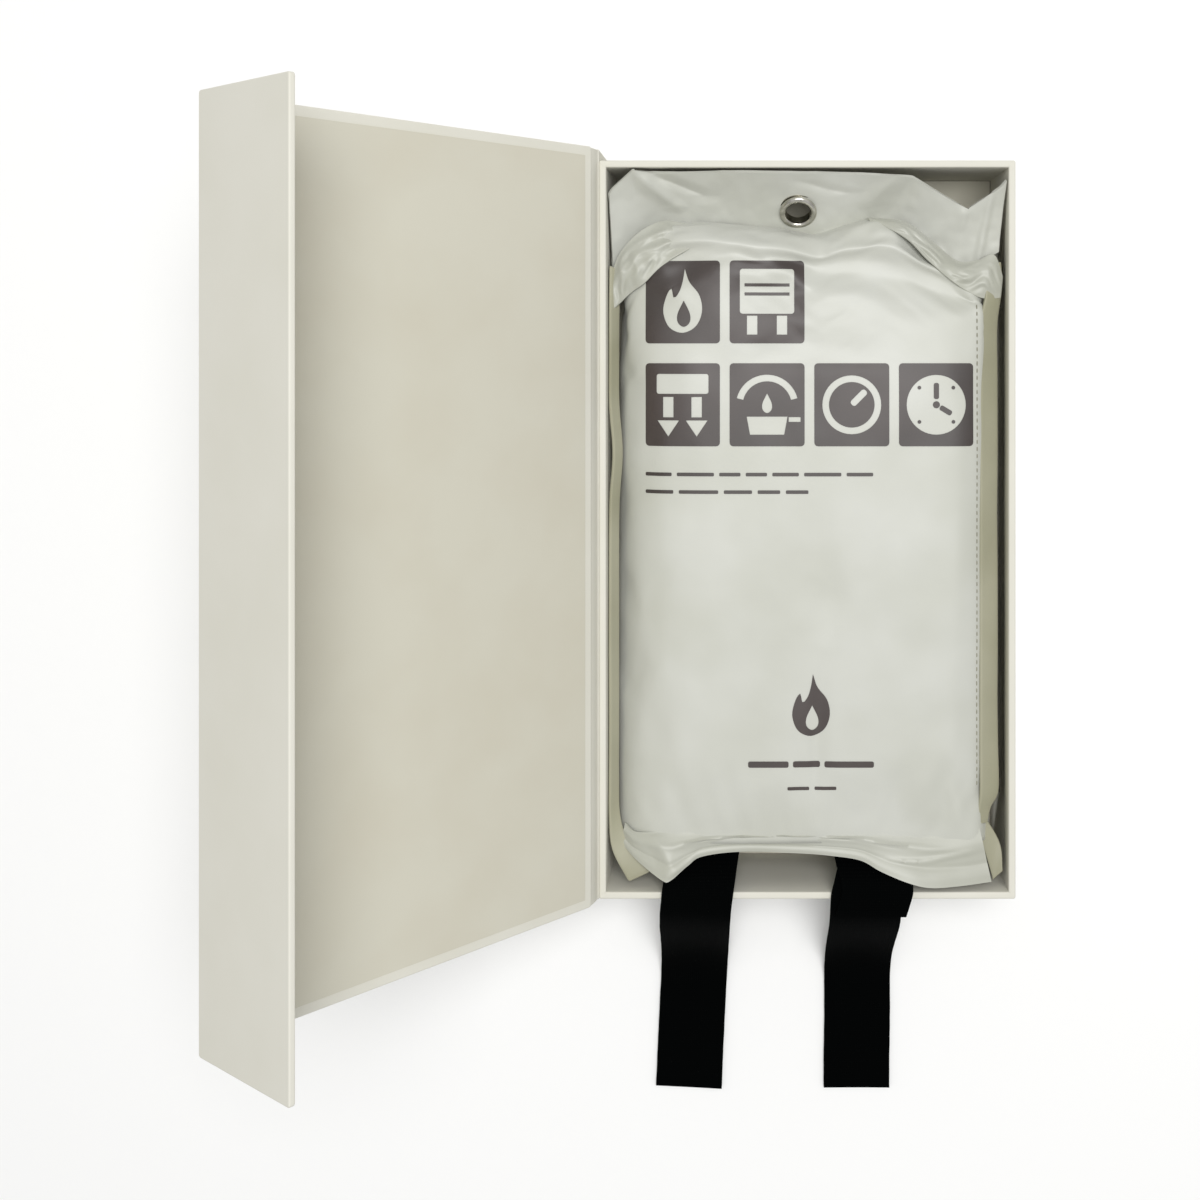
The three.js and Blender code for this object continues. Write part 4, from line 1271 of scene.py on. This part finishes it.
def tab_line(pivot, root_y, lift=0.0):
    # (y, z) points from inside the mouth to the free end
    inner, outer = tray_low.y + WALL + 2.5, tray_low.y - 2.5
    landing = tray_low.y - 58
    over, ground = over_rim, on_floor
    line = [np.array([[root_y, pivot.z], [root_y / 2 + pivot.y / 2, pivot.z]])]
    rise = bezier((pivot.y, pivot.z), (pivot.y - 5, pivot.z), (inner + 5, over), (inner, over), 14)
    fall = bezier((outer, over), (outer - 14, over), (landing + 22, ground), (landing, ground), 26)
    tail = np.stack([np.linspace(landing, tab_end_y, 12)[1:], np.full(11, ground)], axis=1)
    whole = np.concatenate(line + [rise, fall, tail])
    if lift:
        way = np.gradient(whole, axis=0)
        way /= np.linalg.norm(way, axis=1, keepdims=True)
        whole = whole + np.stack([way[:, 1], -way[:, 0]], axis=1) * lift
    return np.array([(0, y, z) for y, z in whole])


def tab_piece(name, side, line, yaw, rows, seed, skew=None):
    pivot = axes[f"{side}_tab_swing"]
    middle = smooth_line(line, rows)
    across = np.linspace(-TAB_W / 2, TAB_W / 2, 13)
    grid = np.zeros((rows, len(across), 3))
    for r, (_, y, z) in enumerate(middle):
        reach = y - pivot.y
        wave = 0.35 * noise.noise(Vector((y / 30, seed, 0)))
        for c, x in enumerate(across):
            slide = skew(y) if skew else 0
            edge = 0.12 * noise.noise(Vector((y / 6, seed + math.copysign(3, x), 0))) * (abs(x) > 14)
            curl = 0.25 * (x / 15) ** 2 * (1 + noise.noise(Vector((y / 40, seed + 9, 0))))
            u = x + slide + edge + wave
            px = pivot.x + u * math.cos(yaw) - reach * math.sin(yaw)
            py = pivot.y + u * math.sin(yaw) + reach * math.cos(yaw)
            grid[r, c] = (px, py, z + curl * 0.6)
    piece = thick_sheet(name, grid * MM, TAB_T * MM, webbing)
    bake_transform(piece)
    return piece


def left_slip(y):
    # how far the tab slides sideways where it goes in under the hem
    return 2.2 * math.exp(-((y + 137) / 13) ** 2)


def right_slip(y):
    return 5.4 * math.exp(-((y + 139) / 11) ** 2)


def doubled_slip(y):
    return 3.4 * math.exp(-((y + 153) / 9) ** 2) + 1.6


root_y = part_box("right_tab_root")[1].y / MM
left_pivot, right_pivot = axes["left_tab_swing"], axes["right_tab_swing"]
left_tab = tab_piece("left_pull_tab", "left", tab_line(left_pivot, root_y), math.radians(-3), 150,
                     1.3, left_slip)
dress(left_tab, "webbing", "left_tab", "left_tab_root")
right_tab = tab_piece("right_pull_tab", "right", tab_line(right_pivot, root_y), 0, 150, 5.1,
                      right_slip)
dress(right_tab, "webbing", "right_tab", "right_tab_root")
doubler_low, doubler_high = box_mm("right_tab_doubler")
doubled = [point for point in tab_line(right_pivot, root_y, TAB_T + 0.3)
           if doubler_low.y - 0.6 <= point[1] <= doubler_high.y + 0.6]
doubler = tab_piece("right_tab_doubled_end", "right", np.array(doubled), 0, 60, 7.7, doubled_slip)
dress(doubler, "webbing", "right_tab_doubler")

# %% [markdown]
# ## The blanket
#
# A sheet of glass-fibre cloth is folded seven wide and four long into a pack. Only its end could
# show, inside the mouth, but a folded cloth is easy to make for real: the sheet is first pleated
# across, then the pleated band is pleated along, and every bend is a half circle. The pack is
# then scaled to the room in the pouch, so it holds less cloth than the metre square it stands for.

# %% Folded sheet
SHEET = 1000.0
pack_low, pack_high = box_mm("folded_blanket")
pack_low.x += 2.5
pack_high.x -= 1.5
pack_high.z -= 1.4
pack_high.y -= 30  # the pack stops short of the slanting end of the pouch
ACROSS, ALONG = 7, 4
layer = (pack_high.z - pack_low.z) / (ACROSS * ALONG)
band = layer * ACROSS


def pleat(length, panels, spacing, flat_steps, bend_steps):
    # distance along, height and the fold's own rise, for one pleated line
    straight = length / panels - math.pi * spacing / 2 * (panels - 1) / panels
    points = []
    for panel in range(panels):
        steps = np.linspace(0, 1, flat_steps)
        run = steps if panel % 2 == 0 else 1 - steps
        points += [(straight * r, spacing * panel, 0.0, panel) for r in run]
        if panel < panels - 1:
            for bend in range(1, bend_steps):
                angle = math.pi * bend / bend_steps
                points.append((straight if panel % 2 == 0 else 0.0, spacing * panel, angle, panel))
    return straight, points


width, across_line = pleat(SHEET, ACROSS, layer, 7, 6)
_, along_line = pleat(SHEET, ALONG, band, 14, 8)
grid = np.zeros((len(along_line), len(across_line), 3))
for r, (y, base, turn, level) in enumerate(along_line):
    for c, (x, height, bend, panel) in enumerate(across_line):
        side = 1 if panel % 2 == 0 else -1
        px = x + side * layer / 2 * math.sin(bend)
        h = height + layer / 2 * (1 - math.cos(bend))
        h = h if level % 2 == 0 else band - layer - h
        far = 1 if level % 2 == 0 else -1
        radius = band - layer / 2 - h
        if turn:
            py = y + far * radius * math.sin(turn)
            pz = base + band - layer / 2 - radius * math.cos(turn)
        else:
            py, pz = y, base + h
        soft = 0.25 * noise.noise(Vector((px / 30, py / 40, pz / 3)))
        grid[r, c] = (px - width / 2, py, pz + soft)
grid[..., 0] *= (pack_high.x - pack_low.x - 1) / np.ptp(grid[..., 0])
middle_x = (pack_low.x + pack_high.x) / 2 - (grid[..., 0].min() + grid[..., 0].max()) / 2
grid[..., 1] *= (pack_high.y - pack_low.y - 1) / np.ptp(grid[..., 1])
grid += (middle_x, pack_low.y + 0.5 - grid[..., 1].min(), pack_low.z + 0.6)
grid[..., 2] = pack_low.z + 0.6 + (grid[..., 2] - grid[..., 2].min()) * (
    (pack_high.z - pack_low.z - 1.2) / np.ptp(grid[..., 2]))
blanket = thick_sheet("folded_fire_blanket", grid * MM, 0.4 * MM, blanket_cloth)
ride(blanket, "pouch", "blanket_cloth", "folded_blanket")
print("blanket layers:", ACROSS * ALONG, "each", round(layer, 2), "mm")

# %% [markdown]
# ## Floor and light
#
# A white studio floor, with one large soft light high over the far side of the object and an even
# white room around it. The big light makes the soft shadows under the lid and the flap.

# %% Floor, light and room
floor_material, _, floor_shader, _ = new_material("white_studio_paper", 0.9)
floor_shader.inputs["Base Color"].default_value = linear("#f4f4f3")
FLOOR = 3.0
corners = [Vector((x * FLOOR, y * FLOOR, -0.0002)) for x, y in ((-1, -1), (1, -1), (1, 1), (-1, 1))]
floor = new_piece("floor", corners, [(0, 1, 2, 3)], floor_material)


def soft_light(name, place, aim, size, watts):
    lamp = bpy.data.lights.new(name, "AREA")
    lamp.shape = "DISK"
    lamp.size = size
    lamp.energy = watts
    light = new_object(name, lamp)
    light.location = place
    light.rotation_euler = (Vector(aim) - Vector(place)).to_track_quat("-Z", "Y").to_euler()


soft_light("overhead_softbox", (0.18, 0.38, 2.0), (0, 0, 0), 1.1, 31)
room = bpy.data.worlds.new("white_room")
room.use_nodes = True
sky = room.node_tree.nodes["Background"].inputs
sky["Color"].default_value = linear("#ffffff")
sky["Strength"].default_value = 0.47
bpy.context.scene.world = room
bpy.context.scene.view_settings.view_transform = "Standard"
print("floor and light are set")
